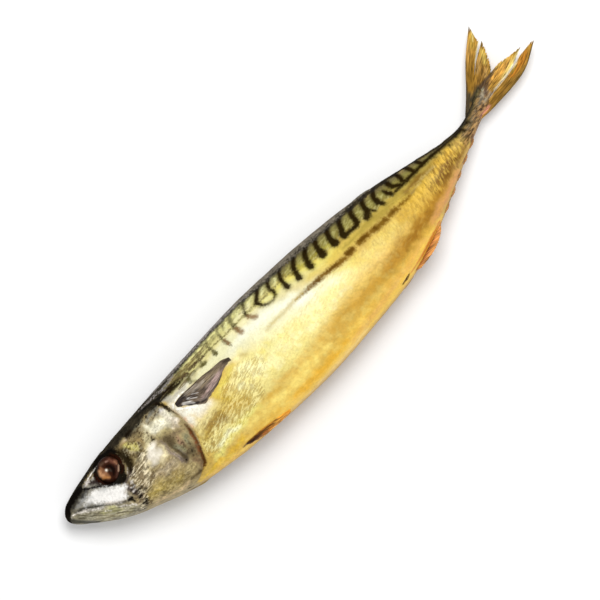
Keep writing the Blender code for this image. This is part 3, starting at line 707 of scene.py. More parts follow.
# The washes of the head end at the slit and under the throat, and before the throat's end they go all round
HEAD_FADE = 0.8
THROAT_GIRTH, THROAT_FADE = GILL_BOTTOM + 0.1, 0.12
THROAT_END, THROAT_END_FADE = 62, 3


def painted(colours, washes, places, flat=None, softness=1.0):
    """The colours with soft washes laid over them."""
    for colour, edge, strength, strokes in washes:
        depth = inside(strokes, places, flat) / (edge * softness)
        colours = washed(colours, colour, strength * smooth((1 + depth) / 2))
    return colours


def plain(colour, places):
    """The same colour at every place."""
    return np.tile(paint(colour), (*places.shape[:2], 1))


# The washes' edges wander, since each place is painted as one a little way off
strayed = skin_flat
for wander, size, seed in (COARSE_WANDER, SMALL_WANDER):
    strayed = strayed + wander * np.stack([uneven(skin_place, size, seed + k) for k in (0, 1)], axis=-1)
undertone = painted(plain(SMOKED_GOLD, skin_place), TRUNK_WASHES.values(), strayed, flattened)
ahead_of_slit = gill_edge(np.abs(skin_girth)) - skin_along
is_head = smooth(0.5 + ahead_of_slit / HEAD_FADE) * smooth((THROAT_GIRTH - np.abs(skin_girth)) / THROAT_FADE)
is_head = np.maximum(is_head, smooth((THROAT_END - skin_along) / THROAT_END_FADE))
head = painted(plain(HEAD_HIDE, skin_place), HEAD_WASHES.values(), strayed, flattened, HEAD_SOFTNESS)
undertone += (head - undertone) * is_head[..., None]
undertone = painted(undertone, TAIL_STEM_WASHES.values(), skin_flat, flattened)

# Painted shade: where the skin turns away from above, towards the side it lies on, it is darkened to brown,
# up to the line where the skin turns out of sight
UNDERSIDE_SHADE, UNDERSIDE_SHADE_COVER, TURNS_UNDER = (140, 90, 34), 0.85, 0.45
lying = laid(on_skin(skin_along, skin_girth))
facing = np.cross(np.gradient(lying, axis=0), np.roll(lying, -1, axis=1) - np.roll(lying, 1, axis=1))
upward = facing[..., 2] / np.linalg.norm(facing, axis=-1)
upward *= np.sign(upward[len(stations) // 2, LEFT_GIRTHS // 2])
under = UNDERSIDE_SHADE_COVER * (1 - is_head) * smooth((TURNS_UNDER - upward) / TURNS_UNDER)
undertone = washed(undertone, UNDERSIDE_SHADE, under)
keep(skin, "undertone", undertone)
keep(skin, "place", skin_place)

# Dark ground of the back: everything above this line, as (along, height)
BACK_LINE = (
    (0, 14.6), (4, 15.6), (8, 17.6), (14, 18.4), (17, 19.0), (20, 21.0), (25, 22.2), (31, 23.0), (36, 23.0),
    (41, 22.0),
    (44, 22.2), (50, 22.8), (53.8, 20.8), (57, 21.6), (60, 22.0), (62, 21.6), (66, 22.6), (70, 22.0),
    (75, 20.8),
    (78, 22.0), (81, 24.2), (88, 25.4), (100, 26.2), (112, 26.6), (125, 26.4), (138, 26.2), (150, 25.0),
    (165, 23.6),
    (175, 22.4), (185, 21.6), (200, 20.0), (213, 18.2), (225, 17.2), (235, 15.0), (245, 13.6), (255, 10.8),
    (262, 8.8),
    (268, 7.2), (280, 6.2), (290, 8.2), (303, 15.2),
)

# Bars of the back, from the top down to their feet
BAR_GROWTH = 0.25
BARS = [
    ((153, 27, 1.3), (149.6, 23.6, 1.1), (146.2, 20.8, 1.1), (147.4, 18, 0.6)),
    ((147.4, 18, 0.6), (149.8, 16.1, 0.3), (153, 15.6, 0.1), (155.6, 16.4, 0.4)),
    ((155.6, 16.4, 0.5), (156.4, 18.2, 0.8), (155.9, 20.6, 0.9), (156.4, 22.6, 1.0), (159, 25.5, 1.2)),
    ((169, 26, 1.3), (165.9, 24.0, 1.1), (163.7, 21, 1.0), (163, 18.5, 1.0), (162.8, 16, 1.2),
     (163, 14.9, 1.3)),
    ((178, 25, 1.4), (174.8, 22.2, 1.2), (172, 19.5, 1.2), (171.3, 17.5, 1.1), (170.7, 15, 1.4),
     (170.2, 13.8, 1.6)),
    ((186, 24, 1.4), (183, 21.8, 1.4), (180.4, 19.5, 1.3), (179.2, 17, 1.3), (178.5, 14.5, 1.5),
     (178.4, 13.4, 1.7)),
    ((195, 24, 1.3), (190.6, 22.6, 1.4), (188.4, 20, 1.3), (187.4, 17.5, 1.2), (187.2, 14.5, 1.9),
     (186.8, 13.4, 2.1)),
    ((202, 23, 1.3), (199, 21.8, 1.4), (196.5, 19.8, 1.4), (195.3, 17, 1.3), (195.2, 14.5, 1.7),
     (195.2, 12.8, 2.2)),
    ((210, 22, 1.2), (206.4, 20.8, 1.4), (204.2, 18.5, 1.2), (202.6, 15.5, 1.2), (201.3, 13, 1.8),
     (201.2, 11.8, 1.6), (204, 11.5, 0.9), (208, 11.1, 1.1)),
    ((217, 21, 1.2), (213.6, 19.6, 1.3), (211.5, 17, 1.2), (211, 14.5, 1.3), (210.4, 12, 1.4),
     (209, 10.9, 1.2)),
    ((225, 20, 1.2), (221.6, 18.8, 1.3), (219.8, 17.4, 1.2), (218.6, 15, 1.2), (218.4, 12.5, 1.3),
     (216.4, 10.2, 1.6), (215.2, 9.8, 1.2)),
    ((218.8, 12.4, 0.6), (221, 9.4, 0.6)),
    ((232, 19, 1.2), (228.8, 17.8, 1.2), (226.6, 16.2, 1.1), (225.2, 14.0, 1.2), (225.2, 11, 1.5),
     (226.6, 8.8, 1.0)),
    ((230.9, 13.4, 0.8), (231.8, 11, 1.2), (233, 9, 1.1)),
    ((233.6, 17.4, 1.2), (235.2, 15.0, 1.3), (236.0, 11.5, 1.4), (239.2, 9, 1.1)),
    ((240.4, 15.8, 1.2), (242.2, 12.4, 1.2), (241.6, 9.8, 1.1), (243, 8.1, 0.9)),
    ((246.4, 14.2, 1.2), (248.5, 11, 1.2), (249, 8.4, 1.0)),
    ((252.6, 12.6, 1.1), (254.3, 9.6, 1.1), (256, 7.8, 0.9)),
    ((232, 8.7, 0.2), (242, 8.3, 0.8), (252, 8.2, 1.0), (260, 7.8, 1.0), (268, 6.9, 0.9), (275, 6.4, 0.8),
     (281, 6.2, 1.0)),
    ((261, 7.4, 0.4), (261.8, 5.6, 0.1)), ((265, 6.8, 0.4), (265.8, 4.8, 0.1)),
    ((270.4, 6.4, 0.6), (271.6, 4.4, 0.3)),
    ((276.2, 6.0, 0.4), (277, 4.6, 0.1)), ((281, 6.0, 0.7), (282, 4.2, 0.5)),
    ((285.6, 6.6, 0.6), (286.8, 5.0, 0.3)),
]
back_heights = [flattened(x, height)[1] for x, height in BACK_LINE]
in_back = np.interp(skin_along, [x for x, _ in BACK_LINE], back_heights) - skin_flat[..., 1]
in_bars = inside(BARS, skin_flat, flattened) + BAR_GROWTH

# The crown of the back runs from just over the edge that shows from above down to the right flank. Behind the
# plain dark nape it is bronze, with bars that cross it.
CROWN_FROM, CROWN_START, CROWN_END = 1.5, 46, 290
CROWN_RINGS = 60
NAPE_FADE = 3
BRONZE_START, BRONZE_FADE = 86, 4
CROWN_BARS = (
    97, 107, 115, 124, 134, 145, 153, 160, 169, 178, 186, 195,
    202, 210, 217, 225, 232, 240, 246, 252, 260, 268, 276,
)
# The course of each of these bars: how far back, how far over the edge, half width
CROWN_COURSE = ((0, -2, 1.1), (1, 0, 1.3), (3, 4, 1.5), (2, 8, 1.4), (4, 12, 1.2))


def back_edge(along):
    """The height at which the back's edge is seen from above."""
    return lay_down(on_skin(along, SEEN_GIRTHS))[:, 1].max()


crown_rings = np.linspace(CROWN_START, CROWN_END, CROWN_RINGS)
crown_arcs = [flattened(x, back_edge(x))[1] for x in crown_rings]
in_crown = np.interp(skin_along, crown_rings, crown_arcs) - skin_flat[..., 1] - CROWN_FROM
in_crown = np.where(skin_girth < 0, np.maximum(in_crown, in_back), in_crown)
in_nape = np.minimum(in_crown, (skin_along - CROWN_START) / NAPE_FADE)
in_crown = np.minimum(in_crown, (skin_along - BRONZE_START) / BRONZE_FADE)
crown_bars = [
    tuple((x + back, back_edge(x) + over, width) for back, over, width in CROWN_COURSE) for x in CROWN_BARS
]
in_crown_bars = np.minimum(inside(crown_bars, skin_flat, flattened), in_crown)

# Flecks and fine folds that the grain scatters over a region: colour, soft edge, raggedness (less than 0 for
# those that lie between others of the same grain), cover, the way the grain runs, how rarely they show, how
# far they stand up, soft edge of the region, strokes
# The pale crests, ridges, gleams and glints are painted highlights; the dark folds, wrinkles and valleys are
# sunk, the skin's brown in them deepened by painted shade in the creases
FLECKS = {
    "head_patches": ((112, 96, 58), 0.5, 1.0, 0.3, "patchy", 0.05, 0.0, 2.5, [
        ((47, 14, 4), (54, -1, 7), (68, 4, 6), (68, -10, 4)),
    ]),
    "cheek_wrinkles": ((66, 46, 26), 0.4, 1.0, 0.65, "along the head", 0.08, -0.3, 3.0, [
        ((36, 6, 1.5), (42, 3, 4), (47, 6.4, 3.6), (52, 10, 1.6)), ((34, -4, 2), (39, -2, 3), (47, -1, 1.6)),
        ((30, -9, 1.2), (36, -9, 1.8)),
    ]),
    "cheek_crests": ((246, 232, 198), 0.45, -1.0, 0.75, "along the head", 0.15, 0.15, 3.0, [
        ((40, 4, 2.5), (46, 5.4, 3.4), (51, 9, 1.6)), ((38, -2, 2), (46, -0.4, 2)),
        ((30, -8, 1.4), (36, -7, 1.6)),
    ]),
    "cheek_lines": ((112, 92, 48), 0.4, 0.9, 0.4, "along the head", 0.05, -0.12, 3.0, [
        ((38, -8, 2.5), (50, -11, 3.5), (62, -12, 4)), ((48, 18, 3), (58, 16, 3)), ((48, -2, 3), (58, -4, 3)),
    ]),
    "cheek_gleams": ((214, 196, 146), 0.4, -0.9, 0.3, "along the head", 0.15, 0.08, 3.0, [
        ((38, -8, 2.5), (50, -11, 3.5), (62, -12, 4)), ((48, -2, 3), (58, -4, 3)),
    ]),
    "head_flecks": ((52, 38, 14), 0.3, 0.9, 0.85, "even", 0.2, -0.08, 2.5, [
        ((44, 20, 2.5), (50, 15, 5), (57, 19, 3.5), (60, 12, 1.6)), ((66, 20, 2), (73, 20, 1.5)),
        ((66, 6, 2), (70, -6, 3)), ((60, 22, 1.0), (74, 21, 1.0)),
    ]),
    "head_glints": ((236, 228, 196), 0.5, -0.9, 0.35, "even", 0.15, 0.08, 3.0, [
        ((62, 19, 2.5), (70, 16, 3.5), (75, 12, 2)), ((48, 17, 2.5), (53, 14, 1.5)), ((56, 4, 3),),
    ]),
    "cover_shades": ((110, 100, 70), 0.4, 1.0, 0.3, "patchy", 0.0, 0.0, 2.0, [
        ((64, 18, 3), (70, 15, 4), (74, 10, 2)),
    ]),
    "jaw_lines": ((88, 80, 54), 0.3, 0.9, 0.6, "down the jaw", 0.10, -0.10, 1.5, [
        ((6, 9, 2.5), (16, 1, 3.5), (28, -6, 2.5)),
    ]),
    "jaw_gleams": ((214, 208, 180), 0.3, -0.9, 0.5, "down the jaw", 0.2, 0.08, 1.5, [
        ((6, 9, 2.5), (16, 1, 3.5), (28, -6, 2.5)),
    ]),
    "slit_folds": ((150, 120, 56), 0.4, 0.9, 0.4, "slanting", 0.05, -0.2, 4.0, [
        ((79, -10, 2), (80, -3, 2.5), (90, -5, 4)),
    ]),
    "flank_folds": ((150, 112, 34), 0.3, 1.0, 0.42, "slanting", 0.15, -0.3, 6.0, [
        ((78, -14, 2), (86, -10, 5), (96, -9, 6), (106, -8, 6), (114, -9, 4)),
        ((104, 1, 2), (116, 2, 3), (124, -1, 3)),
    ]),
    "flank_crests": ((254, 247, 186), 0.5, -1.0, 0.35, "slanting", 0.1, 0.2, 6.0, [
        ((79, -15, 2), (88, -12, 5), (98, -11, 5), (110, -8, 5)), ((104, 1, 2), (116, 2, 3), (124, -1, 3)),
    ]),
    "fine_folds": ((196, 164, 78), 0.4, 1.0, 0.25, "slanting", 0.15, -0.12, 6.0, [
        ((100, -2, 4), (130, -6, 8), (160, -6, 8), (195, -6, 8), (230, -6, 6)),
    ]),
    "flank_patches": ((226, 210, 128), 0.6, 1.0, 0.25, "patchy", 0.1, 0.0, 9.0, [
        ((104, -6, 3), (130, -6, 5), (160, -6, 5), (195, -6, 4), (225, -6, 3)),
    ]),
    "flank_gleams": ((244, 244, 196), 0.6, -1.0, 0.3, "patchy", 0.1, 0.0, 9.0, [
        ((112, -2, 2), (130, -2, 5), (160, -3, 5), (180, -3, 3)),
    ]),
    "belly_patches": ((226, 174, 64), 0.6, 1.0, 0.25, "patchy", 0.05, 0.0, 6.0, [
        ((76, -22, 3), (110, -21, 5), (150, -21, 6), (190, -19, 6), (225, -14, 5), (250, -8, 3)),
    ]),
    "belly_folds": ((214, 160, 58), 0.5, 1.0, 0.15, "patchy", 0.1, -0.1, 8.0, [
        ((76, -22, 2), (100, -23, 4), (130, -20, 6), (170, -19, 6), (210, -17, 5), (240, -12, 3)),
    ]),
    "belly_gleams": ((252, 220, 120), 0.5, -1.0, 0.25, "patchy", 0.15, 0.08, 8.0, [
        ((76, -22, 2), (100, -23, 4), (130, -22, 6), (170, -22, 6), (210, -18, 4)),
    ]),
    "back_patches": ((112, 98, 40), 0.5, 1.0, 0.6, "patchy", 0.0, 0.0, 2.0, [
        ((88, 24, 1.5), (104, 24, 1.5), (130, 24.6, 1.6), (155, 22.6, 2.5), (180, 18.5, 4.5), (205, 16, 5),
         (230, 12.5, 4.5), (252, 9.5, 3)),
    ]),
    "back_gleams": ((220, 214, 140), 0.4, -1.0, 0.5, "slanting", 0.15, 0.0, 2.0, [
        ((96, 23, 2), (130, 23, 3), (155, 21, 4), (180, 17, 4), (205, 14, 4), (230, 11, 3)),
    ]),
    "shoulder_flecks": ((96, 76, 30), 0.3, 1.0, 0.8, "lengthwise", 0.02, -0.1, 1.5, [
        ((86, 24, 1.5), (98, 24, 2.0), (112, 24, 1.6)), ((88, 19.6, 0.8), (100, 19.4, 0.8)),
    ]),
    "rear_folds": ((166, 126, 40), 0.4, 1.0, 0.3, "across", 0.12, -0.2, 6.0, [
        ((200, 2, 3), (222, -1, 5), (240, -2, 5)),
    ]),
    "stem_valleys": ((118, 80, 10), 0.4, 1.0, 0.5, "across", 0.05, -0.4, 6.0, [
        ((250, -4, 2), (258, -3, 3), (266, -1, 3), (274, 1.4, 2)),
    ]),
    "stem_ridges": ((232, 192, 80), 0.4, -1.0, 0.5, "across", 0.05, 0.2, 6.0, [
        ((236, -4, 2), (246, -3, 3), (256, -1, 3), (266, 1.4, 2.4), (274, 3, 1.6)),
    ]),
    "tail_root_folds": ((44, 28, 12), 0.3, 1.0, 0.65, "lengthwise", 0.05, -0.2, 4.0, [
        ((279, 1, 2), (288, 4, 3.5), (296, 8, 4)),
    ]),
    "tail_root_crests": ((188, 146, 88), 0.35, -1.0, 0.65, "lengthwise", 0.1, 0.1, 4.0, [
        ((279, 1, 2), (288, 4, 3), (296, 7, 3)),
    ]),
}

# The bars and the dark back throw a faint shade round them, the back's only behind the shoulder
SHADE_OF_BARS, SHADE_OF_BACK = 0.8, 3.0
SHADE_FROM, SHADE_FADE = 120, 50
in_dusk = in_back + SHADE_OF_BACK * smooth((skin_along - SHADE_FROM) / SHADE_FADE)

# Markings with ragged edges: colour, soft edge, raggedness, cover, strokes or how far inside each point lies
MARKS = {
    "shadow_of_bars": ((104, 90, 32), 1.2, 1.0, 0.45, in_bars + SHADE_OF_BARS),
    "dusk": ((84, 76, 40), 2.2, 1.6, 0.45, in_dusk),
    "faint_rows": ((104, 92, 36), 0.9, 1.3, 0.8, [
        ((90, 22.6, 0.9), (97, 22.0, 1.2), (103, 22.1, 1.2), (110, 21.9, 0.9), (118, 21.4, 0.4),
         (126, 20.9, 0.5), (136, 20.8, 0.5), (147, 20.4, 0.6)),
        ((90, 24.6, 0.3), (96, 24.2, 0.6), (102, 23.9, 0.4)), ((148, 20.0, 0.4), (153, 19.9, 0.5)),
        ((158, 19.8, 0.4), (162, 19.6, 0.4)), ((166, 19.2, 0.3), (170, 18.8, 0.3)),
        ((84, 23.9, 0.5), (88, 23.2, 0.6), (92, 22.6, 0.4)),
    ]),
    "first_bars": ((80, 74, 32), 0.9, 0.8, 0.8, [
        ((124, 27, 1.0), (121.6, 24.4, 0.7), (121.2, 20.6, 0.9), (121.6, 18, 1.1), (122.2, 15.4, 0.5)),
        ((115.5, 27, 0.6), (113.6, 24, 0.4), (113.8, 20, 0.9), (113.6, 18, 1.1)),
        ((126.4, 26, 0.6), (125.2, 23, 0.4)), ((107, 26, 0.5), (105.6, 22, 0.4), (105.4, 18.6, 0.8)),
        ((96.4, 21.6, 0.8), (94.8, 17.4, 0.9)),
        ((134, 27.5, 1.2), (131.0, 25, 1.2), (130.2, 22.6, 1.0), (129.9, 20.4, 1.4), (130.0, 18, 1.0)),
    ]),
    "second_bar": ((46, 38, 14), 0.9, 0.9, 0.9, [
        ((145, 27.5, 1.3), (141.4, 25.4, 1.2), (139.2, 22.8, 0.7), (138.2, 20.6, 1.0), (138.8, 18.6, 0.8)),
    ]),
    "green_spots": ((84, 78, 26), 0.8, 0.6, 0.85, [
        ((104.2, 18.8, 0.9), (106.8, 18.6, 1.1)), ((113.8, 18.3, 1.3),),
        ((94.2, 18.6, 0.8), (95.8, 19.6, 0.8)), ((94, 16.9, 0.4),), ((100, 19.6, 0.7),),
        ((110.5, 26.4, 0.8), (114, 25.2, 0.5)), ((93, 24.2, 0.8),), ((97, 23.4, 0.4),), ((118.6, 24, 0.4),),
    ]),
    "dark_spots": ((66, 44, 10), 0.9, 1.0, 0.9, [
        ((92, 22.2, 0.8), (96, 21.8, 1.0)), ((99, 22.6, 1.0), (103, 22.1, 1.0)),
        ((105, 21.8, 0.5), (108.6, 21.8, 0.8)), ((129.6, 21.0, 0.5),), ((121.2, 21.2, 0.4),),
        ((112.6, 21.6, 0.3),),
    ]),
    "shoulder_band": ((26, 16, 6), 1.0, 0.8, 0.96, [
        ((75.2, 22.4, 0.8), (77.6, 23.0, 1.4), (81, 23.4, 1.5), (86, 23.0, 1.3), (91, 22.8, 0.5)),
        ((77.2, 21.8, 0.8), (81, 21.9, 1.4), (86, 21.7, 1.6), (89.6, 21.2, 1.0), (93, 21.2, 0.3)),
    ]),
    "brown_feet": ((128, 92, 50), 1.2, 0.8, 0.85, [
        ((129.9, 19.2, 1.2), (130.6, 16.2, 1.5)), ((138.6, 18.8, 1.2), (141.0, 16.2, 1.4)),
        ((121.8, 19.4, 0.8), (122, 16.6, 0.8)),
    ]),
    "streak_halo": ((170, 138, 58), 1.6, 1.0, 0.5, [
        ((182, 5.2, 1.4), (194, 4.0, 2.2), (198.6, 4.0, 2.2)),
        ((204.4, 3.8, 2.3), (220, 2.8, 2.1), (229, 2.4, 1.6)),
    ]),
    "lower_streak": ((112, 78, 14), 1.1, 0.9, 0.92, [
        ((161, 7.2, 0.4), (166, 6.9, 0.8), (172, 6.4, 1.3), (178, 6.0, 1.4), (184, 5.3, 1.3), (189, 4.4, 1.5),
         (193, 3.9, 1.3)),
        ((196, 4.4, 1.7), (199, 4.4, 1.8)), ((203.8, 4.1, 1.7), (207, 4.1, 1.8), (209.4, 3.8, 1.7)),
        ((212.8, 3.1, 1.6), (215, 3.0, 1.9), (217, 2.7, 1.6)), ((218.8, 2.4, 1.4), (221.4, 2.3, 1.8)),
        ((224.8, 2.4, 1.4), (228.8, 2.2, 1.5)), ((231.2, 2.2, 1.0), (236, 1.8, 0.7), (243, 2.2, 0.5)),
    ]),
    "faint_streak": ((182, 160, 92), 1.4, 1.1, 0.65, [
        ((140, 7.4, 0.6), (144.4, 8.0, 1.0), (150, 7.6, 0.8), (157, 7.6, 1.3), (166, 7.8, 0.9)),
        ((122, 8.6, 0.8), (124, 6.6, 0.8)), ((240, 2.2, 0.4), (250, 3.2, 0.4), (258, 3.0, 0.3)),
        ((110, 3.6, 0.4), (112.6, 3.9, 0.3)),
    ]),
    "streak_spots": ((78, 48, 2), 1.0, 0.7, 0.7, [
        ((172.6, 6.3, 0.6), (176.6, 6.1, 0.7)), ((182, 5.8, 0.4), (188, 4.8, 0.6)),
        ((196, 4.5, 1.0), (198.8, 4.5, 1.1)), ((214.6, 3.2, 0.9),), ((205, 4.3, 0.8), (208.6, 4.1, 0.8)),
        ((221, 2.4, 0.6),), ((226.6, 2.4, 0.6),),
    ]),
    "bars": ((30, 18, 3), 0.9, 0.6, 0.97, in_bars),
    "pale_leaves": ((226, 224, 160), 0.9, 0.7, 0.75, [
        ((125.6, 22.6, 0.6), (128.6, 24.8, 0.5)), ((133.4, 22.4, 0.9), (137.6, 25.1, 0.4)),
        ((142, 22.9, 0.5), (147, 24.9, 0.4)), ((151.4, 22.0, 0.8), (153.8, 23.9, 0.4)),
        ((150.6, 18.4, 0.7), (153.8, 17.8, 0.7)), ((159.4, 20.6, 0.6), (161.6, 22.8, 0.4)),
    ]),
    "olive_leaves": ((136, 129, 62), 1.2, 0.9, 0.6, [
        ((167, 19.4, 0.6), (170, 21.4, 0.4)), ((174.4, 17.6, 0.7), (177.4, 20.0, 0.6)),
        ((182.6, 17.2, 0.6), (185.6, 19.4, 0.3)), ((190.8, 15.6, 0.8), (193, 18.6, 0.4)),
        ((198.6, 16.4, 0.8), (201.0, 18.8, 0.5)), ((206.2, 14.8, 1.0), (208.6, 17.6, 0.6)),
        ((214.2, 13.2, 0.8), (215.8, 16.4, 0.5)), ((222, 12.6, 1.0), (223.4, 15.8, 0.5)),
        ((229.2, 12.2, 0.8), (230.2, 14.8, 0.4)), ((238, 12.4, 0.7),), ((244.8, 11.2, 0.9),),
        ((251.4, 10.0, 0.9),), ((258.4, 9.2, 0.6),),
    ]),
    "back": ((34, 30, 24), 1.2, 1.6, 0.95, in_back),
    # Painted sheen: the grey reflection of the white surroundings on the dark back, where it turns away near
    # its edge; it is duller towards the tail
    "back_sheen": ((140, 133, 128), 2.4, 2.0, 0.85, [
        ((46, 27.6, 1.4), (62, 28.4, 1.8), (72, 28.6, 2.2)),
        ((68, 26.3, 0.2), (74, 26.0, 0.4), (84, 25.2, 0.5), (90, 26.2, 0.8)),
        ((76, 28.2, 4.4), (90, 28.5, 6.6), (110, 29.0, 7), (130, 29.1, 7.6), (146, 28.4, 7.4)),
    ]),
    "rear_sheen": ((120, 112, 98), 2.4, 2.0, 0.85, [
        ((142, 28.6, 7), (154, 28.0, 7.6), (170, 26.5, 6.4), (190, 24.3, 5.4), (204, 22.2, 3.4),
         (222, 20.0, 2.6), (232, 18.0, 1.6)),
    ]),
    "back_lines": ((22, 19, 15), 0.7, 1.0, 0.9, [
        ((62, 25.6, 0.8), (68, 25.2, 1.2), (74, 24.3, 1.2), (78, 23, 0.8)),
        ((66, 27.3, 0.6), (76, 27.1, 0.9)), ((79.6, 26.9, 0.5), (85, 26.7, 0.7)),
    ]),
    # Painted sheen: pale streaks of reflection along the dark back behind the head
    "back_sheen_streaks": ((138, 132, 130), 0.9, 1.2, 0.5, [
        ((66, 26.4, 0.5), (72, 26.1, 0.8), (77, 25.6, 0.6)),
        ((79, 25.2, 0.5), (84, 24.9, 0.8), (88, 25.0, 0.3)),
    ]),
    "nape": ((36, 32, 25), 1.0, 1.0, 0.96, in_nape),
    "crown": ((84, 80, 54), 2.2, 1.8, 0.85, in_crown - 0.5),
    "crown_bars": ((22, 17, 9), 1.0, 0.8, 0.95, in_crown_bars),
    "dark_temple": ((20, 11, 2), 1.2, 1.0, 0.95, [
        ((42.8, 22, 1.2), (43.8, 18, 1.8), (44.2, 13.8, 2.2), (43.2, 10.6, 2.0), (41.6, 8.8, 1.2)),
        ((53.2, 22.4, 1.6), (55.4, 22.8, 0.8)),
    ]),
    "head_black": ((12, 9, 7), 0.6, 0.8, 0.98, [
        ((0.6, 14, 1.8), (3, 17.0, 2.4), (7, 19.2, 2.2), (12, 20.2, 2.1), (16.4, 20.4, 1.8)),
        ((16.6, 20.4, 0.7), (19.6, 17.8, 0.5), (22.6, 16.0, 0.6), (25.4, 13.8, 0.8)),
        ((16, 22.6, 0.8), (22, 23.4, 0.8), (28, 24.6, 0.6)),
        ((18.6, 21.8, 0.4), (24, 22.9, 0.5), (28.4, 23.6, 0.4)),
        ((26.0, 12.8, 0.7), (28.4, 10.8, 0.8), (31.6, 9.2, 0.9), (35.4, 8.4, 1.7), (37.8, 9.0, 1.4)),
        ((29.8, 18.6, 4.4), (30.6, 14.0, 4.2), (34.4, 12.2, 4.4), (37.4, 13.4, 4.2), (38.6, 16.8, 4.2),
         (37.8, 21, 5.2), (33, 22, 5.6), (29.8, 19.6, 4.4)),
        ((30.2, -0.8, 0.9), (31.8, -1.4, 0.9), (31.6, -3.8, 0.6)), ((33.8, -0.5, 0.4), (40, -1.1, 0.4)),
        ((34.8, -1.9, 0.2), (37.6, -1.8, 0.3)), ((34.0, -7.6, 0.8), (36.6, -7.4, 0.8)),
        ((34.4, 1.6, 0.5), (37.4, 2.4, 0.4)), ((34.4, -8.8, 0.5), (35.6, -8.8, 0.5)), ((32.6, -9.7, 0.4),),
        ((38.8, -3.0, 0.3), (41, -3.2, 0.3)), ((34.6, -4.0, 0.7), (36.2, -4.1, 0.5)),
        ((60.4, 11.6, 0.4), (61.6, 10.8, 0.5)), ((70.6, -7.0, 0.5),), ((65, -8.2, 0.6),),
        ((45.4, -10.8, 0.4),), ((61, 22.0, 0.7),), ((66.6, 21.8, 0.6),),
        ((55, -18.8, 0.4), (57.6, -19.6, 0.4)), ((50.2, 12.6, 0.5),),
    ]),
    "eye_rim": ((38, 13, 5), 0.9, 0.6, 0.85, [
        ((27.4, 20.6, 0.6), (26.4, 18, 0.9), (26.6, 15.4, 0.9), (28.2, 13.2, 0.7), (31.4, 11.8, 0.5)),
        ((39.6, 21.4, 0.8), (41.4, 18.4, 0.9), (41.6, 15.6, 1.1), (40.6, 13.0, 0.8), (37.6, 11.2, 0.6)),
    ]),
    "mouth_line": ((44, 42, 30), 0.5, 0.4, 0.92, [
        ((5.6, 14.4, 0.4), (9, 13.3, 0.7), (12.6, 11.3, 0.6), (16, 8.9, 0.6), (18.6, 7.0, 0.4),
         (21, 5.0, 0.3), (24.6, 1.8, 0.3), (28.4, -0.6, 0.4)),
        ((1.4, 12.9, 0.8), (3.4, 10.2, 0.7), (6, 7.0, 0.7), (8.6, 4.3, 0.7), (10.8, 2.4, 0.5),
         (13.6, 0.9, 0.2)),
    ]),
    "gill_slit": ((24, 16, 8), 0.6, 0.7, 0.96, [
        ((74.8, 22.4, 0.9), (76.4, 19.2, 1.2), (77.2, 15.0, 0.8)), ((78.0, 13.4, 0.4), (78.4, 11.0, 0.2)),
    ]),
    "slit_brown": ((78, 42, 16), 0.8, 0.8, 0.95, [
        ((77.8, 4.6, 0.3), (77.2, 0.6, 1.0), (76.0, -4, 0.9), (74.6, -8, 0.8), (72.8, -11.6, 1.4),
         (70.4, -15.2, 1.6), (66.4, -17.2, 0.9)),
    ]),
    "slit_red": ((118, 70, 40), 0.8, 0.8, 0.6, [
        ((76.4, 0.4, 0.3), (75.4, -3.6, 0.6), (73.6, -7.6, 0.7), (72, -10.4, 0.4)),
    ]),
    # The upper jaw's plate: its own silvery white together with a painted highlight on it
    "jaw_plate_white": ((248, 245, 239), 1.3, 1.0, 0.98, [
        ((12.6, 13.8, 0.1), (17.2, 13.2, 1.3), (19.4, 12.2, 2.8), (24, 8.6, 3.2), (28.6, 4.8, 3.6)),
        ((32.6, 4.8, 1.6), (34.0, 5.0, 0.8)), ((30.0, 2.4, 1.7),),
    ]),
    "plate_grey": ((168, 168, 165), 1.2, 1.4, 0.7, [
        ((13, 15.6, 0.4), (17, 15.2, 0.3)), ((12.6, 13.2, 0.3), (16, 11.4, 0.3)),
        ((15.6, 15.2, 0.2), (18.4, 12.8, 0.2)), ((23.4, 12.6, 0.2), (26, 11.0, 0.3)),
    ]),
    "plate_hem": ((206, 194, 178), 0.8, 0.6, 0.7, [
        ((20.4, 6.6, 0.3), (24, 3.2, 0.7), (28.2, 0.6, 0.5)), ((31.2, 3.0, 0.3), (33.4, 3.8, 0.4)),
    ]),
    "head_white": ((222, 215, 205), 0.6, 0.6, 0.85, [
        ((20.6, 20.8, 0.3), (26, 21.9, 0.3), (30.4, 22.3, 0.1)), ((24.8, 19.6, 0.6),),
        ((37.6, 4.4, 0.6), (38.4, 4.4, 0.7)), ((35.6, 2.6, 0.1), (37.6, 1.9, 0.2)),
        ((34.8, 0.4, 0.3), (36.4, 0.4, 0.2)), ((39.2, 8.8, 0.15), (41.2, 10.8, 0.1)),
        ((29.4, -3.0, 0.1), (31.0, -5.4, 0.2)), ((24.4, 0.3, 0.2), (27.6, -2.2, 0.2), (29.2, -3.8, 0.1)),
        ((3.2, 14.3, 0.2), (7.6, 12.9, 0.3), (12, 10.2, 0.5), (15, 7.9, 0.3), (18, 5.9, 0.4)),
        ((17.6, 3.8, 0.1), (20, 2.0, 0.1)),
    ]),
    # A painted highlight along the pectoral fin's upper edge, and a pale line by its lower edge
    "fin_gleam": ((250, 248, 244), 0.4, 0.4, 0.95, [
        ((79.0, 14.4, 0.2), (80.6, 16.0, 0.2), (83.6, 16.8, 0.25), (90, 16.6, 0.1)),
        ((80.2, 12.8, 0.2), (84, 9.8, 0.4), (88.6, 6.4, 0.3)),
    ]),
    "anal_root": ((198, 100, 10), 0.9, 0.6, 0.85, [
        ((211, -25.4, 0.4), (222, -23.2, 0.9), (231, -20.8, 1.1), (240, -18.0, 0.6)),
    ]),
    "anal_brown": ((150, 82, 22), 0.5, 0.6, 0.85, [
        ((213, -26.4, 0.2), (222, -24.2, 0.4), (231, -21.8, 0.5), (240, -18.8, 0.4)),
    ]),
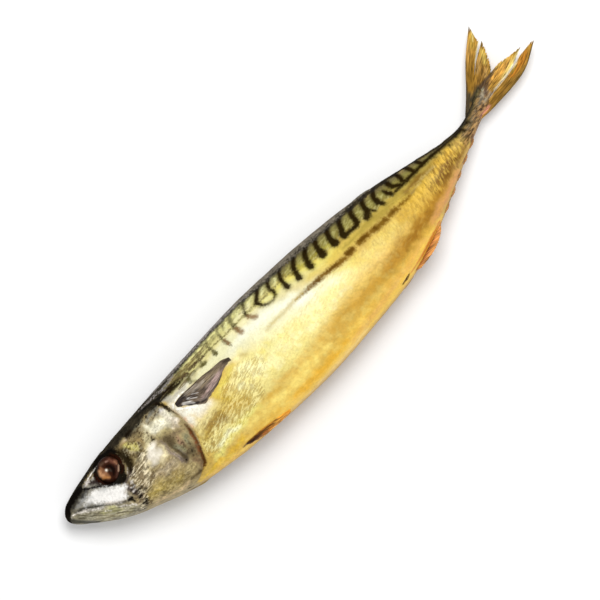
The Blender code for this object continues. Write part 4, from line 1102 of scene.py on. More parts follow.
    # Painted shade in the recess where the pelvic fin meets the belly
    "pelvic_root_shade": ((76, 42, 10), 0.8, 0.8, 0.9, [
        ((89.6, -24.3, 0.7), (95, -25.0, 1.0), (101, -25.6, 0.8), (108, -26.8, 0.4)),
    ]),
    "vent_dark": ((74, 40, 8), 0.5, 0.4, 0.95, [
        ((203.8, -26.4, 0.4), (206.6, -26.1, 0.9), (209.8, -25.3, 0.4)),
    ]),
    "finlet_roots": ((112, 66, 24), 0.7, 0.6, 0.9, [
        ((247, -16.2, 0.5), (252, -15.0, 0.5)), ((255.6, -12.8, 0.5), (259, -11.8, 0.4)),
        ((263, -9.2, 0.5), (266.4, -8.0, 0.5)), ((270, -6.0, 0.5), (274, -4.6, 0.4)),
        ((280, -3.0, 0.6), (283.6, 0.2, 0.4)),
    ]),
}


def add(tree, kind, inputs=None, **settings):
    """A new node. Each input is given as a value, or as the socket that feeds it."""
    node = tree.nodes.new(kind)
    for name, value in settings.items():
        setattr(node, name, value)
    for name, value in (inputs or {}).items():
        if isinstance(value, bpy.types.NodeSocket):
            tree.links.new(value, node.inputs[name])
        else:
            node.inputs[name].default_value = value
    return node


def figure(tree, operation, *values):
    """The result of a sum on one to three values."""
    return add(tree, "ShaderNodeMath", dict(enumerate(values)), operation=operation).outputs[0]


def reads(tree, name, output="Fac"):
    """What the mesh keeps for each of its points under this name."""
    return add(tree, "ShaderNodeAttribute", attribute_name=name).outputs[output]


def mixed(tree, share, under, over):
    node = add(tree, "ShaderNodeMix", data_type="RGBA")
    for socket, value in ((node.inputs[0], share), (node.inputs[6], under), (node.inputs[7], over)):
        if isinstance(value, bpy.types.NodeSocket):
            tree.links.new(value, socket)
        else:
            socket.default_value = value
    return node.outputs[2]


def toned(tree, colour, tone):
    """A colour made lighter or darker by a tone of about 1."""
    return add(tree, "ShaderNodeVectorMath", {0: colour, "Scale": tone}, operation="SCALE").outputs[0]


def spread(tree, value, from_low, from_high, to_low, to_high, **settings):
    """Maps one range of values onto another and stops at its ends."""
    ends = {"Value": value, "From Min": from_low, "From Max": from_high, "To Min": to_low, "To Max": to_high}
    return add(tree, "ShaderNodeMapRange", ends, **settings).outputs["Result"]


def clouded(tree, place, scale, **finish):
    """Noise from 0 to 1 at the given number of lumps a millimetre."""
    inputs = {"Vector": place, "Scale": scale, "Detail": 3.0, **finish}
    return add(tree, "ShaderNodeTexNoise", inputs).outputs["Fac"]


def new_group(name, inputs, outputs):
    """An effect: its inputs have a name, a kind and a usual value, and its outputs a name and a kind."""
    tree = bpy.data.node_groups.new(name, "ShaderNodeTree")
    for label, (kind, usual) in inputs.items():
        socket = tree.interface.new_socket(label, in_out="INPUT", socket_type=f"NodeSocket{kind}")
        if usual is not None:
            socket.default_value = usual
    for label, kind in outputs.items():
        tree.interface.new_socket(label, in_out="OUTPUT", socket_type=f"NodeSocket{kind}")
    entrance, way_out = tree.nodes.new("NodeGroupInput"), tree.nodes.new("NodeGroupOutput")
    return tree, entrance.outputs, way_out.inputs


def placed(tree, group, inputs):
    """The outputs of an effect that is placed in a material with its own values."""
    return add(tree, "ShaderNodeGroup", inputs, node_tree=group).outputs


# A marking with a ragged edge, laid over the colours beneath it
PIGMENT, given, result = new_group(
    "pigment",
    {
        "Under": ("Color", None), "Pigment": ("Color", None), "Inside": ("Float", 0.0),
        "Break": ("Float", 0.0), "Edge": ("Float", 0.5), "Ragged": ("Float", 0.5), "Cover": ("Float", 1.0),
    },
    {"Colour": "Color", "Mask": "Float"},
)
worn = figure(PIGMENT, "MULTIPLY_ADD", given["Break"], given["Ragged"], given["Inside"])
fades_from = figure(PIGMENT, "MULTIPLY", given["Edge"], -1.0)
faded = spread(PIGMENT, worn, fades_from, given["Edge"], 0.0, 1.0, interpolation_type="SMOOTHSTEP")
mask = figure(PIGMENT, "MULTIPLY", faded, given["Cover"])
PIGMENT.links.new(mixed(PIGMENT, mask, given["Under"], given["Pigment"]), result["Colour"])
PIGMENT.links.new(mask, result["Mask"])

# The grain of dried skin, turned and drawn out to run with its folds: a break value that roughens edges, a
# tone for its colours, and a height in millimetres
GRAIN_ROUGHNESS, BLOTCHES = 0.6, 0.2
FINE_SHARE, BLOTCH_SHARE = 1.2, 0.8
GRAIN, given, result = new_group(
    "skin grain",
    {
        "Place": ("Vector", None), "Slant": ("Float", 0.0), "Stretch": ("Vector", (1, 1, 1)),
        "Fineness": ("Float", 1.0), "Detail": ("Float", 3.0), "Mottle": ("Float", 0.1),
        "Depth": ("Float", 0.2),
    },
    {"Break": "Float", "Tone": "Float", "Height": "Float"},
)
slant = {"Vector": given["Place"], "Angle": given["Slant"]}
turned = add(GRAIN, "ShaderNodeVectorRotate", slant, rotation_type="Z_AXIS").outputs[0]
drawn = add(GRAIN, "ShaderNodeVectorMath", {0: turned, 1: given["Stretch"]}, operation="MULTIPLY").outputs[0]
fine = clouded(GRAIN, drawn, given["Fineness"], Detail=given["Detail"], Roughness=GRAIN_ROUGHNESS)
blotch = clouded(GRAIN, drawn, BLOTCHES)
GRAIN.links.new(spread(GRAIN, fine, 0.25, 0.75, -1.0, 1.0), result["Break"])
blotch_part = figure(GRAIN, "MULTIPLY", blotch, BLOTCH_SHARE)
speckle = figure(GRAIN, "MULTIPLY_ADD", fine, FINE_SHARE, blotch_part)
swing = figure(GRAIN, "MULTIPLY", figure(GRAIN, "SUBTRACT", speckle, 1.0), given["Mottle"])
GRAIN.links.new(figure(GRAIN, "ADD", figure(GRAIN, "MULTIPLY", swing, 2.0), 1.0), result["Tone"])
GRAIN.links.new(figure(GRAIN, "MULTIPLY", fine, given["Depth"]), result["Height"])


def new_material(name):
    material = bpy.data.materials.new(name)
    material.use_nodes = True
    return material.node_tree, material.node_tree.nodes["Principled BSDF"]


def bump(tree, shader, height, strength=1.0):
    """Lets a height in millimetres bend the light."""
    relief_node = add(tree, "ShaderNodeBump", {"Height": height, "Distance": MM, "Strength": strength})
    tree.links.new(relief_node.outputs["Normal"], shader.inputs["Normal"])


# The head and the back are more mottled than the rest, the front of the flank a little, the palest parts less
SKIN_MOTTLE, HEAD_MOTTLE, BACK_MOTTLE = 0.17, 0.6, 1.0
FRONT_MOTTLE_SHARE, FRONT_END, FRONT_FADE = 0.35, 100, 20
BACK_FADE = 6
CALMER_IN_PALE_PARTS, CALMER_ON_CROWN = 0.6, 0.5
front_share = FRONT_MOTTLE_SHARE * smooth((FRONT_END - skin_along) / FRONT_FADE)
mottle = SKIN_MOTTLE + (HEAD_MOTTLE - SKIN_MOTTLE) * np.maximum(is_head, front_share)
mottle = mottle + (BACK_MOTTLE - mottle) * smooth(1 + in_back / BACK_FADE)
for strokes in (RELIEF["upper jaw plate"][2], HEAD_WASHES["cheek cream"][3]):
    mottle = mottle * (1 - CALMER_IN_PALE_PARTS * smooth(1 + inside(strokes, skin_flat, flattened)))
mottle = mottle * (1 - CALMER_ON_CROWN * smooth(in_crown))
keep(skin, "mottle", mottle)

# The blackest markings have no shine of their own
DULL_DARKS = (
    "bars", "second_bar", "lower_streak", "shoulder_band", "back", "dark_temple", "head_black", "eye_rim",
    "gill_slit", "slit_brown", "crown_bars",
)
# How far from its edge a marking is still told apart
MARK_REACH = 6
SKIN_DULLEST, SKIN_GLOSSIEST = 0.48, 0.34
SKIN_METALLIC, SKIN_COAT = 0.1, 0.5


def layer_over(tree, colour, name, grain, pigment, edge, ragged, cover):
    """One marking laid over the colours beneath it: the new colours and the marking's mask."""
    return placed(tree, PIGMENT, {
        "Under": colour, "Pigment": paint(pigment), "Inside": reads(tree, name), "Break": grain["Break"],
        "Edge": edge, "Ragged": ragged, "Cover": cover,
    })


# The finish of the skin: over the washes come the flecks and then the markings, each laid over those before
# it. The grain runs in one of these ways, by where the flecks lie.
tree, shader = new_material("smoked_skin")
place = reads(tree, "place", "Vector")
ways = {
    "even": {"Fineness": 0.8, "Mottle": reads(tree, "mottle"), "Depth": 0.3},
    "along the head": {"Fineness": 0.9, "Stretch": (0.22, 1.0, 1.0), "Slant": -0.12},
    "down the jaw": {"Fineness": 0.9, "Stretch": (0.12, 1.3, 1.3), "Slant": 0.7},
    "slanting": {"Fineness": 0.8, "Stretch": (0.3, 1.3, 1.3), "Slant": -0.35},
    "lengthwise": {"Fineness": 0.8, "Stretch": (0.25, 1.2, 1.2)},
    "across": {"Fineness": 0.8, "Stretch": (1.1, 0.3, 0.3), "Slant": 0.25},
    "patchy": {"Fineness": 0.22, "Detail": 1.0},
}
grains = {way: placed(tree, GRAIN, {"Place": place, **values}) for way, values in ways.items()}
colour, dark, height = reads(tree, "undertone", "Color"), 0.0, grains["even"]["Height"]
for name, (pigment, edge, ragged, cover, way, rarely, rise, border, strokes) in FLECKS.items():
    where = smooth(1 + inside(strokes, skin_flat, flattened) / border)
    keep(skin, name, (where - 1) * (1 + edge) - rarely)
    layer = layer_over(tree, colour, name, grains[way], pigment, edge, ragged, cover)
    colour = layer["Colour"]
    height = figure(tree, "MULTIPLY_ADD", layer["Mask"], rise, height)
for name, (pigment, edge, ragged, cover, strokes) in MARKS.items():
    where = strokes if isinstance(strokes, np.ndarray) else inside(strokes, skin_flat, flattened)
    keep(skin, name, np.clip(where, -MARK_REACH, MARK_REACH))
    layer = layer_over(tree, colour, name, grains["even"], pigment, edge, ragged, cover)
    colour = layer["Colour"]
    if name in DULL_DARKS:
        dark = figure(tree, "MAXIMUM", layer["Mask"], dark)
tree.links.new(toned(tree, colour, grains["even"]["Tone"]), shader.inputs["Base Color"])
roughness = spread(tree, grains["even"]["Tone"], 0.9, 1.1, SKIN_DULLEST, SKIN_GLOSSIEST)
tree.links.new(roughness, shader.inputs["Roughness"])
tree.links.new(spread(tree, dark, 0.0, 1.0, SKIN_METALLIC, 0.0), shader.inputs["Metallic"])
tree.links.new(spread(tree, dark, 0.0, 1.0, SKIN_COAT, 0.0), shader.inputs["Coat Weight"])
shader.inputs["Coat Roughness"].default_value = 0.38
shader.inputs["Specular IOR Level"].default_value = 0.0
bump(tree, shader, height)
skin.data.materials.append(bpy.data.materials["smoked_skin"])
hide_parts("mackerel")
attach(skin, "root")


# The eyes. Each is a flattened ball painted with a copper ring of iris round a dark pupil, in a black rim; on
# the pupil a pale glint and a greenish reflection are painted highlights. They are turned like beads and set
# in their sockets, as far out as in life.

EYE_RADIUS, EYE_THICKNESS, EYE_STANDS_OUT = 7.0, 6.6, 1.1
EYE_TURN = 0.7
EYE_RINGS, EYE_AROUND = 72, 96
EYE_POLE = 0.01
IRIS_RISE, IRIS_FROM, IRIS_TO, IRIS_FADE = 0.12, 3.2, 6.0, 0.8
EYE_GRAIN, EYE_MOTTLE = 2.0, 0.5
EYE_BLACK = (28, 14, 9)

# The colours of the eye, as (colour, soft edge, strength, strokes)
EYE_COLOURS = [
    ((54, 27, 16), 1.2, 1.0, [((34.2, 16.9, 6.0),)]),
    ((136, 93, 64), 0.8, 0.95, [
        ((31.2, 20.6, 0.5), (30.7, 18.6, 1.4), (30.7, 16.4, 1.4), (30.7, 14.6, 1.0)),
    ]),
    ((200, 149, 106), 0.9, 0.95, [((29.5, 19.8, 0.6), (28.7, 17.8, 0.9), (29.3, 17.0, 0.9))]),
    ((186, 128, 72), 0.8, 0.8, [((28.4, 16.0, 0.5), (29.8, 15.4, 0.6), (31.0, 14.0, 0.3))]),
    ((80, 60, 46), 0.7, 0.9, [((32.3, 21.6, 0.7), (34.0, 21.4, 0.6))]),
    ((146, 112, 97), 0.6, 0.9, [((35.3, 20.8, 0.4), (36.4, 20.4, 0.3))]),
    ((108, 68, 52), 0.9, 0.95, [((37.2, 20.4, 0.6), (37.6, 18.6, 0.8), (38.7, 17.2, 1.2), (40, 16.8, 0.8))]),
    ((156, 112, 82), 0.7, 0.9, [((38.5, 17.6, 0.4), (38.5, 16.2, 0.3))]),
    ((212, 174, 144), 0.7, 0.95, [((36.6, 12.9, 0.3), (37.6, 13.6, 0.4), (38.7, 14.6, 0.5))]),
    ((88, 62, 52), 0.7, 0.8, [((33.4, 11.5, 0.3), (35.5, 12.6, 0.4))]),
    ((18, 7, 4), 0.8, 1.0, [
        ((34.0, 19.0, 0.5), (35.4, 17.6, 0.9), (35.4, 15.6, 1.0), (34.6, 14.4, 0.9), (33.4, 13.4, 0.5)),
    ]),
    # Painted highlights on the pupil: a greenish reflection, then a pale glint with a white core
    ((56, 58, 50), 0.6, 0.85, [((33.9, 16.6, 0.4), (33.9, 15.7, 0.3))]),
    ((226, 210, 190), 0.7, 0.95, [((32.5, 17.6, 0.6),)]),
    ((255, 250, 240), 0.45, 1.0, [((32.5, 17.7, 0.3),)]),
]
# The camera sees the eyes, which stand above the flank round them, this much nearer to the snout
SEEN_NEARER = 0.6
# How far off the points lie that a direction of the skin is measured between
NEAR_ALONG, NEAR_GIRTH, WELL_OUT = 0.1, 0.003, 10.0


def skin_normal(along, girth):
    """The direction in which the smooth skin faces, once the fish is laid down."""
    ahead = lay_down(on_skin(along + NEAR_ALONG, girth)) - lay_down(on_skin(along - NEAR_ALONG, girth))
    round_it = lay_down(on_skin(along, girth + NEAR_GIRTH)) - lay_down(on_skin(along, girth - NEAR_GIRTH))
    normal = np.cross(round_it, ahead)
    outward = lay_down(on_skin(along, girth, WELL_OUT)) - lay_down(on_skin(along, girth))
    normal *= np.sign((normal * outward).sum(axis=-1, keepdims=True))
    return normal / np.linalg.norm(normal, axis=-1, keepdims=True)


tree, shader = new_material("eye_window")
grain = placed(tree, GRAIN, {"Place": reads(tree, "place", "Vector"), "Mottle": EYE_MOTTLE})
tree.links.new(toned(tree, reads(tree, "undertone", "Color"), grain["Tone"]), shader.inputs["Base Color"])
shader.inputs["Roughness"].default_value = 0.3
shader.inputs["Specular IOR Level"].default_value = 0.02

polar = np.linspace(EYE_POLE, math.pi - EYE_POLE, EYE_RINGS)[:, None]
turn = np.linspace(0, 2 * math.pi, EYE_AROUND, endpoint=False)[None, :]
radius, bulge = EYE_RADIUS * np.sin(polar), EYE_THICKNESS / 2 * np.cos(polar)
in_iris = smooth((radius - IRIS_FROM) / IRIS_FADE) * smooth((IRIS_TO - radius) / IRIS_FADE)
in_iris = in_iris * (polar < math.pi / 2)
eye_girth = girths_seen_at([EYE_PLACE[0]], [EYE_PLACE[1]])[0]
for side, word in ((1, "left"), (-1, "right")):
    normal = skin_normal(EYE_PLACE[0], eye_girth * side)
    face = normal + EYE_TURN * np.array([0, 0, side])
    face /= np.linalg.norm(face)
    along_face = np.array([1.0, 0, 0]) - face * face[0]
    along_face /= np.linalg.norm(along_face)
    up_face = np.cross(face, along_face) * side
    middle = lay_down(on_skin(EYE_PLACE[0], eye_girth * side)) - face * (EYE_THICKNESS / 2 - EYE_STANDS_OUT)
    u, v = radius * np.cos(turn), radius * np.sin(turn)
    bead = np.stack([u, v, bulge + IRIS_RISE * in_iris + 0 * turn], axis=-1)
    ball = middle + bead @ np.stack([along_face, up_face, face])
    eye = loft(f"eyeball_{word}", ball + IN_FRAME)
    if side == 1:
        seen = ball[..., :2] - np.array([SEEN_NEARER, 0])
    keep(eye, "undertone", painted(plain(EYE_BLACK, seen), EYE_COLOURS, seen))
    keep(eye, "place", bead * EYE_GRAIN)
    eye.data.materials.append(bpy.data.materials["eye_window"])
    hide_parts(f"eye_{word}")
    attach(eye, "root")


# The paired fins. Pectoral and pelvic fins are thin webs on soft rays, dried flat against the flank behind
# the gill and on the belly. Each is a closed leaf that follows the skin, ribbed by its rays and rooted in it.

# Each fin's upper and lower edge from root to tip, its measures, its colour, and the washes laid over that
PAIRED_FINS = {
    "pectoral": {
        "upper": ((80.6, 15.2), (86, 16.0), (93, 15.6), (100, 15.2), (107, 14.2), (113, 13.6), (117, 11.9)),
        "lower": (
            (80.6, 13.8), (84.4, 11.0), (88.4, 7.6), (92.6, 4.8),
            (99, 5.8), (105.4, 7.0), (111, 9.6), (117, 10.5),
        ),
        "thickness": 0.6,
        "rises_over": 0.04,
        "rays": 17,
        "wander": 1.0,
        "fold_round": 0.0,
        "colour": (112, 97, 80),
        "washes": [
            ((136, 120, 92), 1.5, 0.9, [((98, 12.6, 1.2), (110, 12.0, 0.8))]),
            ((180, 154, 146), 1.4, 0.95, [
                ((94, 7.8, 0.6), (100, 8.0, 1.2), (106, 9.4, 1.2), (109, 10, 0.6)),
            ]),
            ((44, 36, 36), 0.8, 0.95, [((80.4, 14.4, 1.0), (83.4, 14.4, 1.4), (88, 14.2, 0.8))]),
            ((34, 27, 27), 0.7, 0.95, [
                ((81.4, 13.2, 0.4), (87, 9.2, 0.7), (90, 7.4, 0.9)), ((91.6, 6.2, 0.6), (94.6, 5.6, 0.5)),
            ]),
            ((120, 108, 102), 0.8, 0.8, [((91.6, 7.4, 0.5), (95.6, 6.2, 0.4))]),
            ((62, 52, 46), 0.7, 0.85, [
                ((87, 12.4, 1.0), (93, 10.6, 1.2), (97, 9.6, 0.6)),
                ((97, 6.4, 0.3), (104, 6.8, 0.5), (110, 9, 0.4)),
            ]),
            ((66, 56, 42), 0.8, 0.9, [
                ((90, 15.6, 0.3), (98, 15.2, 0.3), (106, 14.2, 0.4)),
                ((113.6, 12.0, 0.9), (116.4, 11.2, 1.2)),
            ]),
            ((92, 78, 62), 1.2, 0.8, [((92.6, 10.2, 0.8), (95.6, 8.8, 1.0))]),
            ((206, 202, 196), 0.5, 0.9, [
                ((84.0, 12.4, 0.3), (86.2, 11.0, 0.4), (88.6, 9.0, 0.3)),
                ((87.6, 12.4, 0.3), (91.0, 9.6, 0.2)), ((90.6, 12.6, 0.1), (93.2, 10.6, 0.1)),
            ]),
            ((166, 156, 142), 0.6, 0.8, [
                ((88, 14.4, 0.3), (96, 14.2, 0.3)), ((92, 13.0, 0.4), (100, 12.6, 0.4)),
            ]),
            ((176, 158, 140), 0.5, 0.7, [
                ((98, 10.6, 0.15), (106, 11.0, 0.2)), ((96, 13.6, 0.1), (104, 12.8, 0.15)),
            ]),
        ],
    },
    "pelvic": {
        "upper": ((89.6, -23.9), (98, -24.5), (108, -26.1), (119, -28.3)),
        "lower": ((89.6, -24.9), (98, -26.8), (106, -29.1), (112, -30.0), (119, -29.0)),
        "thickness": 0.9,
        "rises_over": 0.2,
        "rays": 7,
        "wander": 0.4,
        "fold_round": 0.45,
        "colour": (232, 154, 46),
        "washes": [
            ((150, 92, 40), 1.6, 0.9, [((90, -25.4, 1.2), (98, -26, 1.2), (103, -27, 0.8))]),
            # Painted shade at the fin's root, where it lies in the recess against the belly
            ((50, 24, 6), 0.9, 0.95, [
                ((89.6, -24.2, 0.9), (96, -24.9, 1.1), (102, -25.5, 0.7), (111, -27.0, 0.3)),
            ]),
            ((255, 190, 80), 0.8, 0.9, [
                ((105, -28.4, 0.6), (114, -28.9, 0.6)), ((109, -27.2, 0.3), (116, -28.4, 0.4)),
            ]),
            ((186, 98, 16), 0.5, 0.85, [((101, -26.6, 0.3), (109, -27.9, 0.3), (116, -28.5, 0.2))]),
        ],
    },
}
FIN_STEPS, FIN_ACROSS = 80, 44
ROOT_IN_SKIN = 0.8
RIB_HEIGHT, RIB_ROUNDNESS = 0.11, 0.7
HEM_SHARE, HEM_WIDTH, TIP_THINNING = 0.45, 0.08, 0.45
WORN_EDGE, WORN_LUMPS = 0.5, (1.7, 12)
RAY_GRAIN, RAY_WANDER = 9.0, 3.0
WEB_DEPTH, WEB_DARKEST, WEB_PALEST = 0.35, 0.35, 1.65
STREAK_HEIGHT = 0.15


def edge_curve(points, count):
    """A smooth curve through an edge's points, evenly parted from root to tip."""
    points = np.array(points)
    share = np.linspace(0, 1, len(points))
    at = np.linspace(0, 1, count)
    return np.stack([through(np.stack([share, points[:, k]], 1), at) for k in (0, 1)], 1)


def both_faces(outer, inner):
    """Rings round a leaf, from what its two faces hold."""
    return np.concatenate([outer, inner[:, ::-1]], axis=1)


def ribs(across, count):
    """Rounded ribs with narrow valleys between them, from 0 to 1."""
    return np.abs(np.cos(math.pi * across * count)) ** RIB_ROUNDNESS


# The web of a fin: darker between its rays, as painted shade in the valleys between the raised rays, with a
# fine crosswise grain
WEB, given, result = new_group(
    "fin web",
    {"Place": ("Vector", None), "Rib": ("Float", 1.0), "Depth": ("Float", 0.3)},
    {"Tone": "Float", "Height": "Float"},
)
streak = clouded(WEB, given["Place"], 1.0)
valley = figure(WEB, "MULTIPLY", figure(WEB, "SUBTRACT", 1.0, given["Rib"]), given["Depth"])
streaked = spread(WEB, streak, 0.28, 0.72, WEB_DARKEST, WEB_PALEST)
WEB.links.new(figure(WEB, "SUBTRACT", streaked, valley), result["Tone"])
WEB.links.new(figure(WEB, "MULTIPLY", streak, STREAK_HEIGHT), result["Height"])

tree, shader = new_material("dried_fin")
web_inputs = {"Place": reads(tree, "place", "Vector"), "Rib": reads(tree, "rib"), "Depth": WEB_DEPTH}
web = placed(tree, WEB, web_inputs)
tree.links.new(toned(tree, reads(tree, "undertone", "Color"), web["Tone"]), shader.inputs["Base Color"])
tree.links.new(spread(tree, web["Tone"], 0.8, 1.2, 0.58, 0.42), shader.inputs["Roughness"])
shader.inputs["Specular IOR Level"].default_value = 0.1
bump(tree, shader, web["Height"])


DRIFT_ALONG = 0.02


def dress_fin(fin, *on_one_face):
    """Gives a fin the dried web's finish. Its streaks run along its rays.

    What lies on one face is where it is seen, its ray, how far out it is, its rib and its colour."""
    seen, ray, out, rib, undertone = (both_faces(held, held) for held in on_one_face)
    keep(fin, "undertone", undertone)
    keep(fin, "rib", rib)
    keep(fin, "place", np.stack([ray, out, seen[..., 0] * DRIFT_ALONG], axis=-1))
    fin.data.materials.append(bpy.data.materials["dried_fin"])
    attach(fin, "root")


def lined_up(first, *rest):
    """Values put together as places, each spread over the whole of the first."""
    return np.stack([first, *(value + 0 * first for value in rest)], axis=-1)


def astray(seen, rays, out, wander):
    """Places moved a little off, in streaks along the rays, so that the washes' edges are streaky."""
    streaks = lined_up(rays, RAY_WANDER * out, 0)
    return seen + wander * np.stack([uneven(streaks, 1.0, seed) for seed in (9, 10)], axis=-1)


for name, fin in PAIRED_FINS.items():
    first, last = edge_curve(fin["upper"], FIN_STEPS), edge_curve(fin["lower"], FIN_STEPS)
    last[:, 1] += WORN_EDGE * uneven(lined_up(last[:, 0], 0, 0), *WORN_LUMPS)
    across = np.linspace(0, 1, FIN_ACROSS)[None, :]
    out = np.linspace(0, 1, FIN_STEPS)[:, None]
    seen = first[:, None] * (1 - across[..., None]) + last[:, None] * across[..., None]
    rays = fin["rays"] * across + 0 * out
    girth = girths_seen_at(seen[..., 0], seen[..., 1])
    rib = ribs(across + 0 * out, fin["rays"])
    fullness = HEM_SHARE + (1 - HEM_SHARE) * np.sin(math.pi * np.clip(across, HEM_WIDTH, 1 - HEM_WIDTH))
    above = fin["thickness"] * fullness * (1 - TIP_THINNING * out) + RIB_HEIGHT * rib
    above = -ROOT_IN_SKIN / 2 + (above + ROOT_IN_SKIN / 2) * smooth(out / fin["rises_over"])
    undertone = painted(plain(fin["colour"], seen), fin["washes"], astray(seen, rays, out, fin["wander"]))
    for side, word in ((1, "left"), (-1, "right")):
        girth = girth - (fin["fold_round"] if side < 0 else 0)
        base = waviness(seen[..., 0], girth * side)
        outer = laid(on_skin(seen[..., 0], girth * side, base + above))
        inner = laid(on_skin(seen[..., 0], girth * side, base - ROOT_IN_SKIN))
        leaf = loft(f"{name}_fin_{word}", both_faces(outer, inner))
        dress_fin(leaf, seen, rays, RAY_GRAIN * out + 0 * rays, rib, undertone)


# The fins of the back and belly. Behind the low first dorsal fin, which has shrunk into its groove, come the
# second dorsal and the anal fin, each with a row of five finlets. They are stiff webs in the middle line.

ON_BACK, ON_BELLY = 0.0, math.pi
# Start and end of the root, height, sweep back of the tip, girth of the root, colours of root and tip
MIDDLE_FINS = {
    "first_dorsal_fin": (98.0, 133.0, 0.7, 6.0, ON_BACK, (58, 54, 42), (112, 106, 90)),
    "second_dorsal_fin": (212.0, 229.0, 1.3, 6.0, ON_BACK, (58, 54, 42), (112, 106, 90)),
    "anal_fin": (212.0, 239.0, 3.4, 9.0, ON_BELLY, (176, 88, 22), (214, 148, 78)),
}
FINLETS, FINLET_SWEEP = 5, 2.2
# First start, step to the next, length, height, girth of the root, colours of root and tip
FINLET_ROWS = {
    "dorsal_finlet": (236.0, 8.3, 6.0, 0.4, ON_BACK, (34, 28, 18), (92, 84, 60)),
    "anal_finlet": (244.0, 8.1, 6.0, 1.0, ON_BELLY, (104, 62, 24), (172, 124, 74)),
}
MIDDLE_STEPS, MIDDLE_UP = 48, 9
FIN_ROOT_HALF, FIN_TIP_HALF, FIN_RIB = 0.45, 0.14, 0.06
RAY_STEP, FEWEST_RAYS = 1.6, 4
# The top edge rises steeply, falls slowly and is notched between the rays
RISE_FROM, RISE_TO, RISE_LEAN, RISE_FULLNESS = 0.04, 0.97, 0.6, 0.8
NOTCH = 0.18
TIP_FADE = 1.4


def middle_fin(name, start, end, height, sweep, girth, root_colour, tip_colour):
    """A fin on the middle of the back or belly that leans back towards the tail."""
    root_along = np.linspace(start, end, MIDDLE_STEPS)[:, None]
    share = (root_along - start) / (end - start)
    up = np.linspace(0, 1, MIDDLE_UP)[None, :]
    rise = height * np.sin(math.pi * np.clip(share, RISE_FROM, RISE_TO) ** RISE_LEAN) ** RISE_FULLNESS
    rib = ribs(share + 0 * up, max(FEWEST_RAYS, round((end - start) / RAY_STEP)))
    rise = rise * (1 - NOTCH + NOTCH * rib[:, -1:])
    lift = -ROOT_IN_SKIN + up * (rise + ROOT_IN_SKIN)
    sheet = lay_down(on_skin(root_along + sweep * up * rise / height, girth, lift))
    roll = roll_at(root_along)
    sideways = np.stack([0 * roll, np.sin(roll), np.cos(roll)], axis=-1)
    half = (FIN_ROOT_HALF + (FIN_TIP_HALF - FIN_ROOT_HALF) * up + FIN_RIB * rib)[..., None]
    leaf = loft(name, both_faces(sheet + sideways * half, sheet - sideways * half) + IN_FRAME)
    seen = sheet[..., :2]
    undertone = washed(plain(root_colour, seen), tip_colour, smooth(TIP_FADE * up + 0 * root_along))
    ray = (root_along - start) / RAY_STEP + 0 * up
    dress_fin(leaf, seen, ray, up + 0 * ray, rib, undertone)


for name, sizes in MIDDLE_FINS.items():
    middle_fin(name, *sizes)
for name, (first, step, length, height, *looks) in FINLET_ROWS.items():
    for n in range(FINLETS):
        start = first + n * step
        middle_fin(f"{name}_{n}", start, start + length, height, FINLET_SWEEP * height, *looks)


# The tail fin. Its two lobes have split into four bundles of stiff rays, dried golden brown and dark along
# their leading edges. Each bundle is a leaf between two edges, thickest where it grows out of the stem.

# Each bundle fans out from its root to the trailing edge: the edge ray on the outside, the one on the inside,
# the trailing edge from the end of the first to the end of the second, and the number of rays
TAIL_BLADES = {
    "upper_outer": (
        ((286.0, 7.6), (296.5, 16.8), (309.0, 29.0), (322.6, 39.6)),
        ((291.0, 6.4), (301.0, 15.4), (311.0, 24.2), (320.6, 30.8)),
        ((322.6, 39.6), (321.6, 36.4), (320.4, 33.2), (320.6, 30.8)), 12,
    ),
    "upper_inner": (
        ((289.0, 6.6), (300.0, 15.0), (311.0, 23.6), (321.6, 29.6)),
        ((294.0, 6.0), (301.0, 10.4), (307.0, 13.0), (312.6, 14.4)),
        ((321.6, 29.6), (318.8, 23.6), (315.8, 18.2), (312.6, 14.4)), 12,
    ),
    "lower_inner": (
        ((292.0, 4.8), (307.0, 7.5), (321.0, 8.7), (333.0, 13.1)),
        ((292.0, 7.8), (300.0, 11.6), (307.0, 13.6), (313.4, 15.0)),
        ((333.0, 13.1), (326.0, 13.9), (319.6, 15.3), (313.4, 15.0)), 10,
    ),
    "lower_outer": (
        ((289.0, 2.4), (303.0, 1.6), (324.5, 3.0), (340.3, 10.4)),
        ((292.0, 5.6), (307.0, 7.0), (320.0, 8.0), (329.6, 10.2)),
        ((340.3, 10.4), (337.6, 10.9), (333.6, 10.4), (329.6, 10.2)), 10,
    ),
}
TAIL_ROOT_HALF, TAIL_TIP_HALF, THINS_BY = 1.6, 0.3, 1.2
TAIL_HEM_SHARE, TAIL_RIB, RIBS_FROM = 0.35, 0.16, 4
BLADE_STEPS, BLADE_ACROSS = 110, 84
FRAY, FRAY_STEP, FRAY_SEED = 0.05, 0.9, 24
KEPT_HEM, KEPT_FULLNESS = 0.02, 0.3
TAIL_COLOUR = (174, 130, 50)
